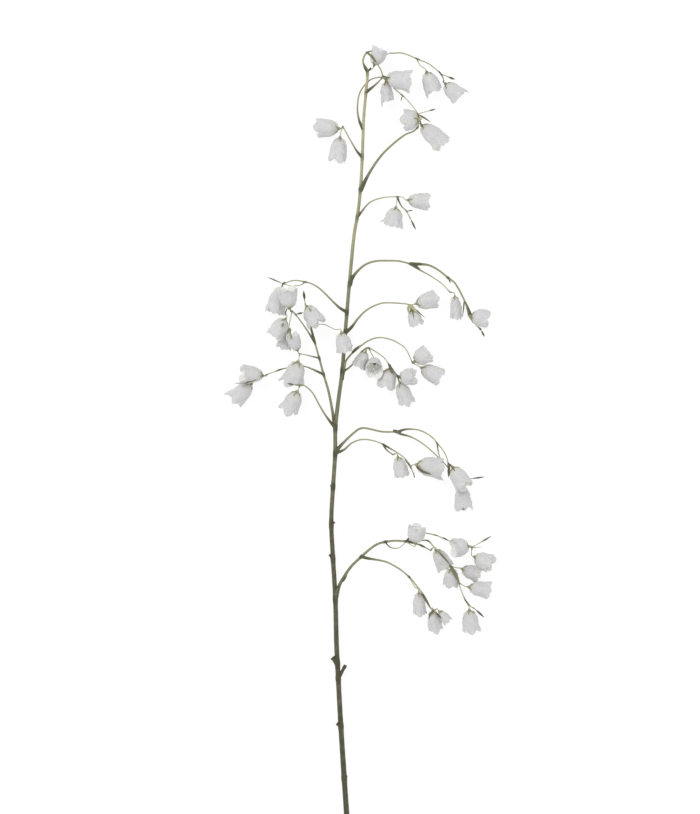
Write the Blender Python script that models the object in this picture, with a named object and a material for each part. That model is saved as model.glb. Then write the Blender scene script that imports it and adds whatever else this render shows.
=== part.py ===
"""A cut stem of white campanula, lying on a surface.

A slim tapering stem carries eleven arching side sprays and forty-eight bells. The plan is laid
out in millimetres from the foot of the stem: X across, Y up the stem, Z above the surface.
Every bell hangs on a thread that ends in a small green calyx with five narrow sepals. A spray
is one body with its threads, calyces and buds, and each bell is a body of its own.
"""

import math
from collections import namedtuple

import bmesh
import bpy
from mathutils import Matrix, Vector

MM = 0.001
MIDDLE = (19.0, 496.0)  # the middle of the plan, which becomes the origin
SEAT_GAP = 0.3  # between a bell and its calyx, and between a spray and the bark

# The stem: it lies with its foot on the surface and rises slightly towards its top.
FOOT_THICKNESS = 6.3
TOP_THICKNESS = 3.3
ARCH_THICKNESS = 2.5
ARCH_END_THICKNESS = 1.3
FOOT_HEIGHT = FOOT_THICKNESS / 2
TOP_HEIGHT = 18.0
TOP_FORK = 958.8  # how far up the plan the stem forks at its top
STEM_SIDES = 8
KNUCKLE_TAPER = 0.6

# Stalks, threads, buds and calyces.
STALK_SIDES = 5
THREAD_THICKNESS = 1.0
LEAST_BUD_THICKNESS = 0.64
SHEATH_SWELL = 1.5  # how much thicker a stalk is where it is rooted
SUNK = 0.5  # how far a rod reaches past the ends of its route, into what it grows from
CUP_SHAPE = [(SEAT_GAP, 0.8), (1.5, 1.0), (3.4, 0.36)]  # depth behind the bell, share of its foot
SEPAL_COUNT = 5
SEPAL_BAND = 1  # the stretch of the cup that the sepals grow out of
SEPAL_REACH = (0.13, 0.66)  # the tip's place, as shares of the bell's length and half width
SEPAL_CLEARANCE = 2.0
BUD_SHAPE = [(0.0, 0.32), (0.4, 0.32), (0.68, 1.0), (1.0, 0.3)]

# A bell, as shares of its length along the axis and of its half width out from the axis.
LOBES = 5
BELL_OUTSIDE = [(0.0, 0.17), (0.10, 0.55), (0.30, 0.88), (0.66, 0.97)]
BELL_INSIDE = [(0.22, 0.48), (0.66, 0.97)]
LOBE_SHOULDER = (0.85, 1.0)
LOBE_SHOULDER_ANGLE = math.radians(20)
WALL = 0.7
CREASE_ANGLE = math.radians(40)  # edges sharper than this keep a crease in the shading

Stalk = namedtuple("Stalk", "root end points")
Bell = namedtuple("Bell", "way base mouth width flare turn", defaults=(1.12, 0))
Bud = namedtuple("Bud", "start end thickness")
Spray = namedtuple("Spray", "stalks bells buds", defaults=((), {}, ()))

STEM_ROUTE = [
    (2.8, 0), (0.8, 30), (-2.5, 78.8), (-6.6, 143), (-10, 206), (-11.8, 241), (-13.4, 301),
    (-16.6, 356), (-18.6, 397), (-17, 441), (-13.9, 482), (-13.2, 514), (-9.1, 551), (-5, 582),
    (-1, 632), (5, 692), (11.2, 755), (15, 780), (17.9, 810), (20.3, 851), (22.1, 899),
    (24.9, 932), (26.5, TOP_FORK),
]
ARCH_ROUTE = [
    (21.8, 967.5, 18), (21.3, 973, 17), (26, 982, 15), (38.8, 984.5, 10.5), (52.5, 982, 9.5),
    (70.6, 981.5, 13), (88.5, 974.3, 15), (104, 967.5, 15), (118.6, 955.3, 14.5),
    (122.2, 947.5, 14),
]
# Knuckles on the bark, where sprays were: a place on it, where it points, its thickness.
KNUCKLES = [
    ((-2.5, 78.8, 4.4), (1.5, 83, 4.4), 4.2),
    ((-6.6, 143, 5.4), (-11.5, 146, 5.4), 4.4),
    ((-9.8, 202, 6.3), (-0.6, 216.5, 8), 3.8),
    ((-10.9, 221, 6.6), (-17, 226.5, 6.6), 4.6),
    ((-16.6, 353, 8.6), (-19.9, 357.5, 8.6), 3.6),
    ((-18.6, 396, 9.3), (-15.2, 400, 9.3), 3.8),
    ((26.3, 957, 18), (31, 962.5, 19), 2.2),
]

TOP = Spray(
    bells={
        "bell_top_1": Bell([(26.4, 957.5, 18)], (32.5, 969, 19), (48, 984.5, 24), 20, 1.12, 18),
        "bell_top_2": Bell([(88.5, 974.3, 15), (92.5, 966, 16)], (97.5, 955.5, 16), (111, 929, 15), 23),
        "bell_top_3": Bell([(122.2, 947.5, 14)], (124, 942, 13.5), (145.5, 924, 12.15), 22, 1.15, 20),
    },
    buds=[Bud((118.6, 955.3, 14.5), (132.5, 949.5, 15), 2.6)],
)

SPRAYS = {
    "spray_01": Spray(
        stalks=[
            Stalk(2.0, 1.3, [(24.9, 932, 17.6), (37.1, 942, 18), (46, 951, 17)]),
            Stalk(1.9, 1.2, [
                (21, 886, 16.9), (16, 899, 15), (14.3, 915, 13), (18, 934, 11), (30, 948, 12.5),
                (39.5, 951, 15), (46, 951, 17),
            ]),
            Stalk(1.4, 1.2, [
                (26, 982, 15), (27.8, 979.7, 24), (34, 972, 31.5), (40.5, 964, 29), (44.5, 957, 22),
                (46, 951, 17),
            ]),
            Stalk(1.2, 0.9, [
                (46, 951, 17), (55.5, 944, 12.5), (60, 938, 11), (70.5, 929, 11), (77.5, 922, 13),
                (85, 912.5, 17), (89.6, 905, 21),
            ]),
        ],
        bells={
            "bell_01_1": Bell([(46, 951, 17)], (51, 949.5, 23), (82, 946.5, 26), 26, 1.15, 36),
            "bell_01_2": Bell([(46, 951, 17)], (47.8, 944, 14), (50.5, 920, 10.5), 18, 1.1, 20),
            "bell_01_3": Bell([(89.6, 905, 21)], (90, 897.5, 22), (72, 898, 14), 25, 1.05, 0),
        },
        buds=[
            Bud((70.5, 929, 11), (68.5, 921.5, 11), 1.4),
            Bud((89.6, 905, 21), (109, 910, 22), 2.6),
        ],
    ),
    "spray_02": Spray(
        stalks=[
            Stalk(2.2, 1.4, [(20.3, 851, 16.3), (12.5, 860.4, 17.5), (-4.1, 890, 16)]),
        ],
        bells={
            "bell_02_1": Bell([(-4.1, 890, 16)], (-10, 887, 15), (-39, 884.5, 13.6), 23, 1.15, 0),
            "bell_02_2": Bell(
                [(-4.1, 890, 16), (-6.5, 882, 15.5)],
                (-7, 874.5, 14.5), (-12.5, 845, 13.4), 23, 1.1, 15,
            ),
        },
    ),
    "spray_03": Spray(
        stalks=[
            Stalk(2.6, 1.1, [
                (17.9, 810, 15.7), (30, 833, 17.5), (43.8, 853, 17.5), (58.8, 868, 15),
                (74, 880, 11), (84, 884.3, 10.5), (90, 889, 13),
            ]),
        ],
        bells={
            "bell_03_1": Bell([(90, 889, 13)], (94.6, 891, 14.5), (117.5, 866, 13.8), 24, 1.15, 10),
        },
    ),
    "spray_04": Spray(
        stalks=[
            Stalk(2.4, 1.3, [
                (14.6, 777, 15.2), (28.5, 793.8, 18), (39, 799, 18), (51, 801.4, 17.5),
                (64, 802, 17),
            ]),
            Stalk(1.2, 0.9, [(64, 802, 17), (68.6, 791, 18), (75.4, 784, 18), (80, 775.6, 16)]),
        ],
        bells={
            "bell_04_1": Bell(
                [(64, 802, 17), (72, 801, 16)],
                (78.5, 798.3, 15.5), (105, 795, 13.6), 22, 1.12, 20,
            ),
            "bell_04_2": Bell([(64, 802, 17)], (61.5, 790, 14.5), (56.5, 765.5, 14), 24, 1.25, 0),
        },
        buds=[
            Bud((75.4, 784, 18), (84, 785, 18), 1.6),
            Bud((80, 775.6, 16), (87.5, 760.4, 14), 2.6),
        ],
    ),
    "spray_05": Spray(
        stalks=[
            Stalk(2.6, 1.7, [
                (5, 692, 13.9), (7.8, 700.4, 16), (15.3, 710, 18), (24.8, 717.5, 19.5),
                (36.9, 721.4, 20.5), (51.9, 722, 20.5), (66.8, 721.4, 20), (80.3, 718, 19),
            ]),
            Stalk(1.7, 1.0, [
                (80.3, 718, 19), (102, 716.6, 21), (115.5, 710, 21.5), (127.5, 700.4, 20),
                (136, 693.8, 20), (148.5, 670.5, 19), (153.5, 654.3, 16), (158.8, 646.3, 12),
                (168.4, 636.6, 9),
            ]),
            Stalk(1.5, 1.0, [
                (80.3, 718, 19), (92.5, 710.5, 15), (106, 703, 13), (119.6, 693.8, 12),
                (130, 683, 12),
            ]),
        ],
        bells={
            "bell_05_1": Bell(
                [(130, 683, 12)],
                (135, 676.5, 11.5), (141, 648.5, 10.5), 17, 1.1, 20,
            ),
            "bell_05_2": Bell(
                [(153.5, 654.3, 16)],
                (156.5, 653.5, 23), (180, 650.5, 27), 23, 1.08, 30,
            ),
        },
        buds=[
            Bud((168.4, 636.6, 9), (173.5, 627, 8), 2.6),
            Bud((127.5, 700.4, 20), (130.5, 694, 20), 2.0),
        ],
    ),
    "spray_06": Spray(
        stalks=[
            Stalk(2.4, 1.2, [
                (2, 657.5, 13.3), (-9, 664.3, 15.5), (-32, 686.6, 18), (-42.9, 693.4, 18.5),
                (-51, 695.6, 18.5), (-64.6, 697.5, 18), (-78.5, 693.4, 16.5),
            ]),
            Stalk(1.0, 0.8, [
                (-51, 695.6, 18.5), (-56, 692, 18), (-67.5, 690.8, 16.5), (-78.5, 693.4, 16.5),
            ]),
        ],
        bells={
            "bell_06_1": Bell(
                [(-78.5, 693.4, 16.5)],
                (-80.5, 688, 14.5), (-93, 659, 13), 22, 1.12, 10,
            ),
        },
        buds=[Bud((-78.5, 693.4, 16.5), (-98.5, 702, 17), 1.8)],
    ),
    "spray_07": Spray(
        stalks=[
            Stalk(2.4, 1.2, [
                (-1, 632, 12.9), (7, 639.4, 15), (15.3, 650.3, 17), (24.8, 659.8, 18),
                (36.9, 666.5, 18), (47.8, 669.5, 18), (73.5, 668.5, 16), (80, 666.8, 15),
            ]),
        ],
        bells={
            "bell_07_1": Bell([(80, 666.8, 15)], (87.5, 668, 15), (114, 673.5, 13.8), 22, 1.15, 10),
            "bell_07_2": Bell([(80, 666.8, 15)], (82, 660.5, 14), (91, 636, 12.5), 19, 1.1, 30),
        },
    ),
    "spray_08": Spray(
        stalks=[
            Stalk(2.4, 1.1, [
                (-4.7, 585, 12.2), (-0.3, 596.8, 15), (7, 606, 19), (12.5, 610.6, 21),
                (19.4, 616.4, 22), (27.5, 622, 21.5), (38, 625.8, 21), (47.4, 625.8, 20.5),
                (58.8, 622.6, 20), (68, 617.5, 19), (74.4, 612.3, 18), (83, 595, 15.5),
            ]),
            Stalk(2.6, 2.2, [(-1.3, 579, 12), (-0.3, 596.8, 15)]),
            Stalk(2.2, 1.1, [
                (-4.7, 583, 12.2), (2.8, 588, 10), (9, 594, 6), (14, 602, 4), (20, 609, 7),
                (27, 613.5, 14), (38, 608, 20), (47.4, 601, 23), (53.6, 592.6, 23),
            ]),
            Stalk(1.1, 1.0, [(53.6, 592.6, 23), (63.5, 579, 23)]),
        ],
        bells={
            "bell_08_1": Bell([(83, 595, 15.5)], (89.5, 594, 16), (97.5, 615, 18), 23, 1.18, 0),
            "bell_08_2": Bell(
                [(83, 595, 15.5)],
                (94.4, 588, 13.5), (120, 574.5, 13.6), 23, 1.15, 20,
            ),
            "bell_08_3": Bell([(20, 609, 7)], (23.5, 606.5, 15), (12, 587.5, 17), 16, 1.1, 0),
            "bell_08_4": Bell([(28.3, 612.8, 14.7)], (35.5, 597, 8.5), (36, 585.5, 31), 21, 1.1, 0),
            "bell_08_5": Bell(
                [(53.6, 592.6, 23)],
                (54.4, 586.5, 18), (48.5, 562.5, 13), 23, 1.15, 0,
            ),
            "bell_08_6": Bell([(63.5, 579, 23)], (68, 577, 24), (89, 576.5, 31), 22, 1.1, 15),
            "bell_08_7": Bell([(63.5, 579, 23)], (67.5, 570, 15.5), (78, 543.5, 12.6), 20, 1.2, 25),
        },
    ),
    "spray_09": Spray(
        stalks=[
            Stalk(2.8, 1.8, [
                (-13.2, 513, 11), (-21.3, 557, 15.5), (-28, 580.3, 17), (-33.4, 600.5, 18),
                (-38.8, 620, 18.5),
            ]),
            Stalk(1.5, 0.9, [
                (-38.8, 620, 18.5), (-44.3, 642.5, 12), (-48, 655, 12), (-50.8, 667.5, 18),
            ]),
            Stalk(1.6, 1.1, [
                (-38.8, 620, 18.5), (-47, 633, 19), (-56.5, 646.6, 21), (-63, 655, 24),
                (-67, 659, 27),
            ]),
            Stalk(1.0, 0.8, [(-33.4, 600.5, 18), (-52, 605, 22), (-57.5, 606, 24.5)]),
            Stalk(1.6, 1.0, [
                (-28, 580.3, 17), (-49.6, 589.8, 11), (-60, 590.5, 10), (-71.4, 589, 10.5),
                (-79.5, 587, 12.5), (-99, 580, 18),
            ]),
            Stalk(2.4, 1.1, [
                (-13.2, 513, 11), (-25.3, 528.8, 15), (-33.4, 542.3, 19), (-41.5, 557, 25),
                (-51, 565.8, 30), (-57, 566.8, 32), (-63, 567, 33),
            ]),
        ],
        bells={
            "bell_09_1": Bell([(-67, 659, 27)], (-70, 663.5, 30), (-73.5, 688, 37), 23, 1.1, 0),
            "bell_09_2": Bell(
                [(-50.8, 667.5, 18)],
                (-48.5, 664, 24), (-33.5, 640.5, 28), 23, 1.08, 20,
            ),
            "bell_09_3": Bell(
                [(-67, 659, 27), (-73, 661.5, 28.5), (-75.3, 657, 29)],
                (-76, 648, 28), (-91, 626.5, 29), 22, 1.1, 15,
            ),
            "bell_09_4": Bell(
                [(-67, 659, 27), (-70, 646, 20), (-71.5, 638, 14)],
                (-72.5, 634, 11.5), (-79, 611, 10.6), 18, 1.1, 0,
            ),
            "bell_09_5": Bell(
                [(-57.5, 606, 24.5)],
                (-60.5, 611, 28), (-67.5, 630.5, 36), 16, 1.1, 0,
            ),
            "bell_09_6": Bell(
                [(-44.3, 642.5, 12), (-34, 643, 10), (-26.6, 642.5, 14), (-13, 636, 27)],
                (-6.9, 631, 31), (2.5, 607.5, 30.5), 22, 1.2, 5,
            ),
            "bell_09_7": Bell(
                [(-57.5, 606, 24.5)],
                (-60.5, 594, 25), (-66, 566.5, 15.2), 24, 1.3, 25,
            ),
            "bell_09_8": Bell([(-99, 580, 18)], (-105, 578.5, 20.5), (-135, 580, 27), 22, 1.15, 0),
            "bell_09_9": Bell(
                [(-99, 580, 18), (-106, 576, 14), (-112, 572.3, 12.6)],
                (-119, 567.5, 13.2), (-142, 547, 12.69), 22, 1.2, 20,
            ),
            "bell_09_10": Bell([(-57, 566.8, 32)], (-61, 557.5, 25), (-73, 532.5, 14), 23, 1.2, 10),
        },
        buds=[
            Bud((-63, 655, 24), (-54.5, 657, 24), 2.4),
            Bud((-50.8, 667.5, 18), (-53.5, 687.5, 19), 2.6),
            Bud((-63, 567, 33), (-73.5, 569, 33), 2.0),
            Bud((-79.5, 587, 12.5), (-78, 593.5, 14), 1.4),
        ],
    ),
    "spray_10": Spray(
        stalks=[
            Stalk(2.6, 1.7, [
                (-14, 481, 10.6), (-6.5, 491.6, 13), (13.8, 510.6, 17), (22, 513.4, 18),
                (45, 508.9, 19), (64, 508.6, 19),
            ]),
            Stalk(1.6, 1.1, [
                (64, 508.6, 19), (74.9, 511.8, 20), (88.4, 511.3, 21.5), (99.3, 507.3, 22),
                (108.8, 500.5, 22), (113.5, 494.4, 22), (119.6, 487.5, 22), (125, 478, 22),
                (127.5, 468.8, 22),
            ]),
            Stalk(1.6, 1.0, [
                (64, 508.6, 19), (66.8, 506.5, 18), (80.3, 502.5, 16.5), (91, 497, 15.5),
                (102, 489, 13), (119, 473.3, 6.5), (125, 467, 5.5), (132, 458, 6), (141, 448, 8.5),
            ]),
            Stalk(0.9, 0.8, [(113.5, 494.4, 22), (115.5, 482, 17), (119, 473.3, 6.5)]),
            Stalk(2.2, 1.4, [
                (-14, 481, 10.6), (-2.5, 486.3, 12), (7, 494.4, 13), (16.6, 498.4, 14),
                (26, 499, 14.5), (38.3, 496.4, 15), (46.3, 493, 15),
            ]),
            Stalk(1.3, 0.9, [
                (46.3, 493, 15), (66.8, 480.8, 21), (74.9, 474, 23), (80.3, 464.5, 23),
                (84.5, 456, 21.5),
            ]),
            Stalk(1.2, 0.9, [(46.3, 493, 15), (50.5, 486.3, 14), (58.5, 480, 13)]),
        ],
        bells={
            "bell_10_1": Bell(
                [(80.3, 464.5, 23)],
                (90, 465.5, 20), (120.5, 459, 14.6), 24, 1.15, 36,
            ),
            "bell_10_2": Bell(
                [(127.5, 468.8, 22)],
                (133.5, 463.5, 24.5), (149, 438.5, 32), 23, 1.1, 15,
            ),
            "bell_10_3": Bell(
                [(141, 448, 8.5)],
                (145.5, 439, 11.5), (147.5, 410, 12.6), 22, 1.15, 10,
            ),
            "bell_10_4": Bell([(58.5, 480, 13)], (63.2, 475, 11.5), (71, 448.5, 11), 18, 1.08, 20),
        },
        buds=[
            Bud((127.5, 468.8, 22), (127.2, 454, 24), 1.4),
            Bud((84.5, 456, 21.5), (85.5, 451, 21), 1.6),
            Bud((141, 448, 8.5), (173, 451.3, 13), 1.5),
        ],
    ),
    "spray_11": Spray(
        stalks=[
            Stalk(2.8, 1.8, [
                (-13.4, 299, 7.8), (-9, 315, 10), (-2.5, 327.5, 12.5), (7, 341, 15),
                (19.3, 353, 17), (30, 362.5, 18), (39.6, 368.8, 18.5), (49, 371.4, 19),
                (61.3, 372.8, 19), (74.9, 372, 19),
            ]),
            Stalk(0.9, 0.8, [
                (49, 371.4, 19), (54.5, 365, 16), (64, 363.3, 16), (71.5, 368, 18), (74.9, 372, 19),
            ]),
            Stalk(1.4, 1.0, [(74.9, 372, 19), (91.3, 367.5, 15), (106, 360.5, 14)]),
            Stalk(1.5, 0.9, [
                (74.9, 372, 19), (86.3, 371.3, 18), (97, 373.5, 20), (103, 372.3, 24),
                (109, 366, 28), (114.5, 361, 30), (131.3, 341.5, 33.5), (137, 330, 33),
                (140, 321.3, 29), (148, 300.3, 19), (153.5, 292, 16), (160, 288.3, 14.5),
            ]),
            Stalk(1.3, 0.9, [
                (74.9, 372, 19), (84, 380, 13), (93, 383, 13.5), (101.3, 382, 17),
                (112.5, 379.5, 19), (120, 376.3, 18), (127.5, 373, 13), (138, 369, 9),
                (149, 365.5, 12), (157, 364.5, 18),
            ]),
            Stalk(0.9, 0.8, [(157, 364.5, 18), (168, 364.5, 18)]),
            Stalk(2.0, 1.3, [
                (19.3, 353, 17), (26, 351, 16), (47.8, 347, 16), (58.6, 342.3, 16),
                (69.5, 335.5, 17), (78.8, 327.5, 18), (87, 318, 19), (95.5, 306.6, 20),
                (104, 290.5, 22), (110, 286, 24),
            ]),
        ],
        bells={
            "bell_11_1": Bell(
                [(74.9, 372, 19), (80.5, 368, 24)],
                (86.5, 371, 28), (90, 392.5, 33.5), 22, 1.1, 0,
            ),
            "bell_11_2": Bell([(157, 364.5, 18)], (152, 365, 25), (132, 363, 30), 23, 1.12, 10),
            "bell_11_3": Bell([(157, 364.5, 18)], (160.5, 352.5, 26), (182, 341, 33), 22, 1.15, 20),
            "bell_11_4": Bell(
                [(131.3, 341.5, 33.5), (139.5, 339, 22)],
                (146, 337, 12), (168, 329, 11), 19, 1.08, 0,
            ),
            "bell_11_5": Bell([(140, 321.3, 29)], (153.5, 315.5, 22), (180, 311, 22), 20, 1.2, 15),
            "bell_11_6": Bell([(106, 360.5, 14)], (112, 359, 12.5), (125.5, 338, 10.6), 19, 1.1, 0),
            "bell_11_7": Bell(
                [(131.3, 341.5, 33.5)],
                (131.3, 337, 28), (128, 316, 17), 20, 1.1, 20,
            ),
            "bell_11_8": Bell(
                [(148, 300.3, 19)],
                (153.4, 284, 14), (156.3, 255, 12.6), 22, 1.12, 18,
            ),
            "bell_11_9": Bell(
                [(78.8, 327.5, 18), (86, 315, 15)],
                (91, 306.5, 11.5), (92, 278.5, 10.5), 17, 1.08, 15,
            ),
            "bell_11_10": Bell(
                [(110, 286, 24)],
                (108.3, 284, 15), (113.8, 256.5, 11.5), 19, 1.1, 10,
            ),
            "bell_11_11": Bell([(110, 286, 24)], (120, 284, 21), (133.5, 271, 19.5), 12, 1.1, 0),
        },
        buds=[
            Bud((160, 288.3, 14.5), (173, 276.5, 13), 2.8),
            Bud((157, 364.5, 18), (181, 377, 20), 2.0),
            Bud((110, 286, 24), (118.5, 276, 29.5), 2.8),
        ],
    ),
}


def place(point):
    """A point of the plan, in metres from the middle of it."""
    across, up, above = point
    return Vector((across - MIDDLE[0], up - MIDDLE[1], above)) * MM


def stem_height(up):
    """Height of the stem's centre line above the surface, in millimetres."""
    return FOOT_HEIGHT + (TOP_HEIGHT - FOOT_HEIGHT) * min(up / TOP_FORK, 1.0)


def stem_points():
    """The stem's centre line and its thickness at each point, with the arch it ends in."""
    points = [(across, up, stem_height(up)) for across, up in STEM_ROUTE]
    widths = [
        FOOT_THICKNESS + (TOP_THICKNESS - FOOT_THICKNESS) * up / TOP_FORK
        for across, up in STEM_ROUTE
    ]
    steps = len(ARCH_ROUTE)
    for step, point in enumerate(ARCH_ROUTE, 1):
        points.append(point)
        widths.append(ARCH_THICKNESS + (ARCH_END_THICKNESS - ARCH_THICKNESS) * step / steps)
    return points, widths


def material(name, colour, roughness):
    """A matt plant material."""
    made = bpy.data.materials.new(name)
    made.use_nodes = True
    shader = made.node_tree.nodes["Principled BSDF"]
    shader.inputs["Base Color"].default_value = (*colour, 1.0)
    shader.inputs["Roughness"].default_value = roughness
    shader.inputs["Metallic"].default_value = 0.0
    made.diffuse_color = (*colour, 1.0)
    return made


def section_frames(points, side):
    """A turned frame for each point of a route, with as little twist as can be."""
    count = len(points)
    tangents = [
        (points[min(i + 1, count - 1)] - points[max(i - 1, 0)]).normalized() for i in range(count)
    ]
    along = tangents[0]
    side = (side - along * side.dot(along)).normalized()
    frames = []
    for point, tangent in zip(points, tangents):
        side = along.rotation_difference(tangent) @ side
        side = (side - tangent * side.dot(tangent)).normalized()
        turned = Matrix((side.cross(tangent), side, tangent)).transposed().to_4x4()
        frames.append(Matrix.Translation(point) @ turned)
        along = tangent
    return frames


def grow_rod(bm, points, radii, sides, side=Vector((0, 0, 1))):
    """Grows a closed rod along a route. It returns the side faces of each stretch."""
    shapes = [
        frame @ Matrix.Diagonal((radius, radius, radius, 1))
        for frame, radius in zip(section_frames(points, side), radii)
    ]
    ring = bmesh.ops.create_circle(bm, cap_ends=True, segments=sides, radius=1)["verts"]
    bmesh.ops.transform(bm, matrix=shapes[0], verts=ring)
    edges = list(bm.edges)
    bands = []
    for before, after in zip(shapes, shapes[1:]):
        grown = bmesh.ops.extrude_edge_only(bm, edges=edges)["geom"]
        ring = [item for item in grown if isinstance(item, bmesh.types.BMVert)]
        edges = [item for item in grown if isinstance(item, bmesh.types.BMEdge)]
        bands.append([item for item in grown if isinstance(item, bmesh.types.BMFace)])
        bmesh.ops.transform(bm, matrix=after @ before.inverted(), verts=ring)
    bmesh.ops.contextual_create(bm, geom=edges)
    return bands


def sweep(points, radii, sides):
    """A closed rod along a route of points, as an object."""
    bm = bmesh.new()
    grow_rod(bm, points, radii, sides)
    bmesh.ops.recalc_face_normals(bm, faces=bm.faces)
    return finished(bm, "rod")


def finished(bm, name):
    """An object that holds the mesh."""
    mesh = bpy.data.meshes.new(name)
    bm.to_mesh(mesh)
    bm.free()
    made = bpy.data.objects.new(name, mesh)
    bpy.context.scene.collection.objects.link(made)
    return made


def sunk(before, end):
    """The end of a route, moved on past itself, so that what meets there overlaps."""
    return end + (end - before).normalized() * SUNK * MM


def stalk_rod(stalk):
    """A side stalk, tapering from the sheath that it is rooted in."""
    count = len(stalk.points) - 1
    radii = [
        (stalk.root + (stalk.end - stalk.root) * i / count) * MM / 2 for i in range(count + 1)
    ]
    radii[0] *= SHEATH_SWELL
    points = [place(point) for point in stalk.points]
    ends = sunk(points[1], points[0]), sunk(points[-2], points[-1])
    return sweep([ends[0], *points[1:-1], ends[1]], radii, STALK_SIDES)


def bud_rod(bud):
    """A bud or a bract at the end of its own thread."""
    start = place(bud.start)
    along = place(bud.end) - start
    points = [start + along * share for share, width in BUD_SHAPE]
    points[0] = sunk(points[1], start)
    radii = [max(width * bud.thickness, LEAST_BUD_THICKNESS) * MM / 2 for share, width in BUD_SHAPE]
    return sweep(points, radii, STALK_SIDES)


def bell_frame(bell):
    """The matrix that sets a bell on its calyx, and the bell's length in metres."""
    base = place(bell.base)
    axis = place(bell.mouth) - base
    turned = axis.to_track_quat("Z", "Y").to_matrix().to_4x4()
    turn = Matrix.Rotation(math.radians(bell.turn), 4, "Z")
    return Matrix.Translation(base) @ turned @ turn, axis.length


def thread_rod(bell):
    """The thread of a bell, with the green cup and the five sepals that it ends in."""
    frame, length = bell_frame(bell)
    half_width = bell.width * MM / 2
    thin = THREAD_THICKNESS * MM / 2
    cup_radius = half_width * BELL_OUTSIDE[0][1]
    cup = [frame @ Vector((0, 0, -depth * MM)) for depth, share in CUP_SHAPE]
    route = cup + [place(point) for point in reversed(bell.way)]
    route[-1] = sunk(route[-2], route[-1])
    radii = [cup_radius * share for depth, share in CUP_SHAPE] + [thin] * len(bell.way)
    bm = bmesh.new()
    bands = grow_rod(bm, route, radii, SEPAL_COUNT, frame.to_3x3().col[1])
    into_bell = frame.inverted()
    reach = half_width * SEPAL_REACH[1] + SEPAL_CLEARANCE * MM
    for tip in bmesh.ops.poke(bm, faces=bands[SEPAL_BAND])["verts"]:
        out = into_bell @ tip.co
        out.z = 0
        tip.co = frame @ (out.normalized() * reach + Vector((0, 0, length * SEPAL_REACH[0])))
    bmesh.ops.recalc_face_normals(bm, faces=bm.faces)
    return finished(bm, "thread")


def bell_wall(bm, rings, length, half_width, flare, inset):
    """One face of a bell's wall. It returns the rim's vertices in order."""
    columns = 2 * LOBES
    height, radius = rings[0]
    first = bmesh.ops.create_circle(
        bm, cap_ends=True, segments=columns, radius=radius * half_width
    )["verts"]
    bmesh.ops.translate(bm, vec=(0, 0, height * length), verts=first)
    edges = list({edge for vertex in first for edge in vertex.link_edges})
    ring = first
    for height, radius in rings[1:]:
        at_rim = (height, radius) == rings[-1]
        reach = radius * half_width - (inset if at_rim else 0)
        grown = bmesh.ops.extrude_edge_only(bm, edges=edges)["geom"]
        ring = [item for item in grown if isinstance(item, bmesh.types.BMVert)]
        edges = [item for item in grown if isinstance(item, bmesh.types.BMEdge)]
        for vertex in ring:
            out = Vector((vertex.co.x, vertex.co.y, 0)).normalized()
            vertex.co = out * reach + Vector((0, 0, height * length))
    ring.sort(key=lambda vertex: math.atan2(-vertex.co.x, vertex.co.y) % (2 * math.pi))
    rim = []
    for lobe in range(LOBES):
        middle = ring[2 * lobe]
        before, after = ring[2 * lobe - 1], ring[(2 * lobe + 1) % columns]
        angle = 2 * math.pi * lobe / LOBES
        height, radius = LOBE_SHOULDER
        sides = []
        for turn in (-LOBE_SHOULDER_ANGLE, LOBE_SHOULDER_ANGLE):
            reach = radius * half_width * (0.5 + flare / 2) - inset
            sides.append(rim_vertex(bm, angle + turn, reach, height * length))
        tip = rim_vertex(bm, angle, flare * half_width - inset, length)
        bm.faces.new((before, middle, sides[0]))
        bm.faces.new((middle, tip, sides[0]))
        bm.faces.new((middle, sides[1], tip))
        bm.faces.new((middle, after, sides[1]))
        rim += [before, sides[0], tip, sides[1]]
    return rim


def rim_vertex(bm, angle, radius, height):
    """A vertex of a lobe's edge."""
    return bm.verts.new((-math.sin(angle) * radius, math.cos(angle) * radius, height))


def bell_object(name, bell, white):
    """A bell: an outer and an inner face that meet round the five lobes."""
    frame, length = bell_frame(bell)
    half_width = bell.width * MM / 2
    bm = bmesh.new()
    outer = bell_wall(bm, BELL_OUTSIDE, length, half_width, bell.flare, 0)
    inner = bell_wall(bm, BELL_INSIDE, length, half_width, bell.flare, WALL * MM)
    for step in range(len(outer)):
        bm.faces.new((outer[step - 1], outer[step], inner[step], inner[step - 1]))
    bmesh.ops.triangulate(bm, faces=bm.faces)
    bmesh.ops.recalc_face_normals(bm, faces=bm.faces)
    made = finished(bm, name)
    made.location = frame.to_translation()
    made.rotation_euler = frame.to_euler()
    return dressed(made, white)


def dressed(made, finish):
    """Gives an object its material, and smooth shading between its sharper edges."""
    made.data.materials.clear()
    made.data.materials.append(finish)
    made.data.shade_smooth()
    made.data.set_sharp_from_angle(angle=CREASE_ANGLE)
    return made


def fuse(name, rods, bark, finish):
    """One body of overlapping rods, cut back where it would enter the bark."""
    group = bpy.data.collections.new(name)
    bpy.context.scene.collection.children.link(group)
    whole = rods[0]
    for rod in rods[1:]:
        bpy.context.scene.collection.objects.unlink(rod)
        group.objects.link(rod)
    union = whole.modifiers.new("union", "BOOLEAN")
    union.operation = "UNION"
    union.operand_type = "COLLECTION"
    union.collection = group
    if bark:
        cut = whole.modifiers.new("bark", "BOOLEAN")
        cut.operation = "DIFFERENCE"
        cut.object = bark
    graph = bpy.context.evaluated_depsgraph_get()
    mesh = bpy.data.meshes.new_from_object(whole.evaluated_get(graph))
    for rod in rods:
        bpy.data.objects.remove(rod)
    bpy.data.collections.remove(group)
    mesh.name = name
    made = bpy.data.objects.new(name, mesh)
    bpy.context.scene.collection.objects.link(made)
    return dressed(made, finish)


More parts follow.
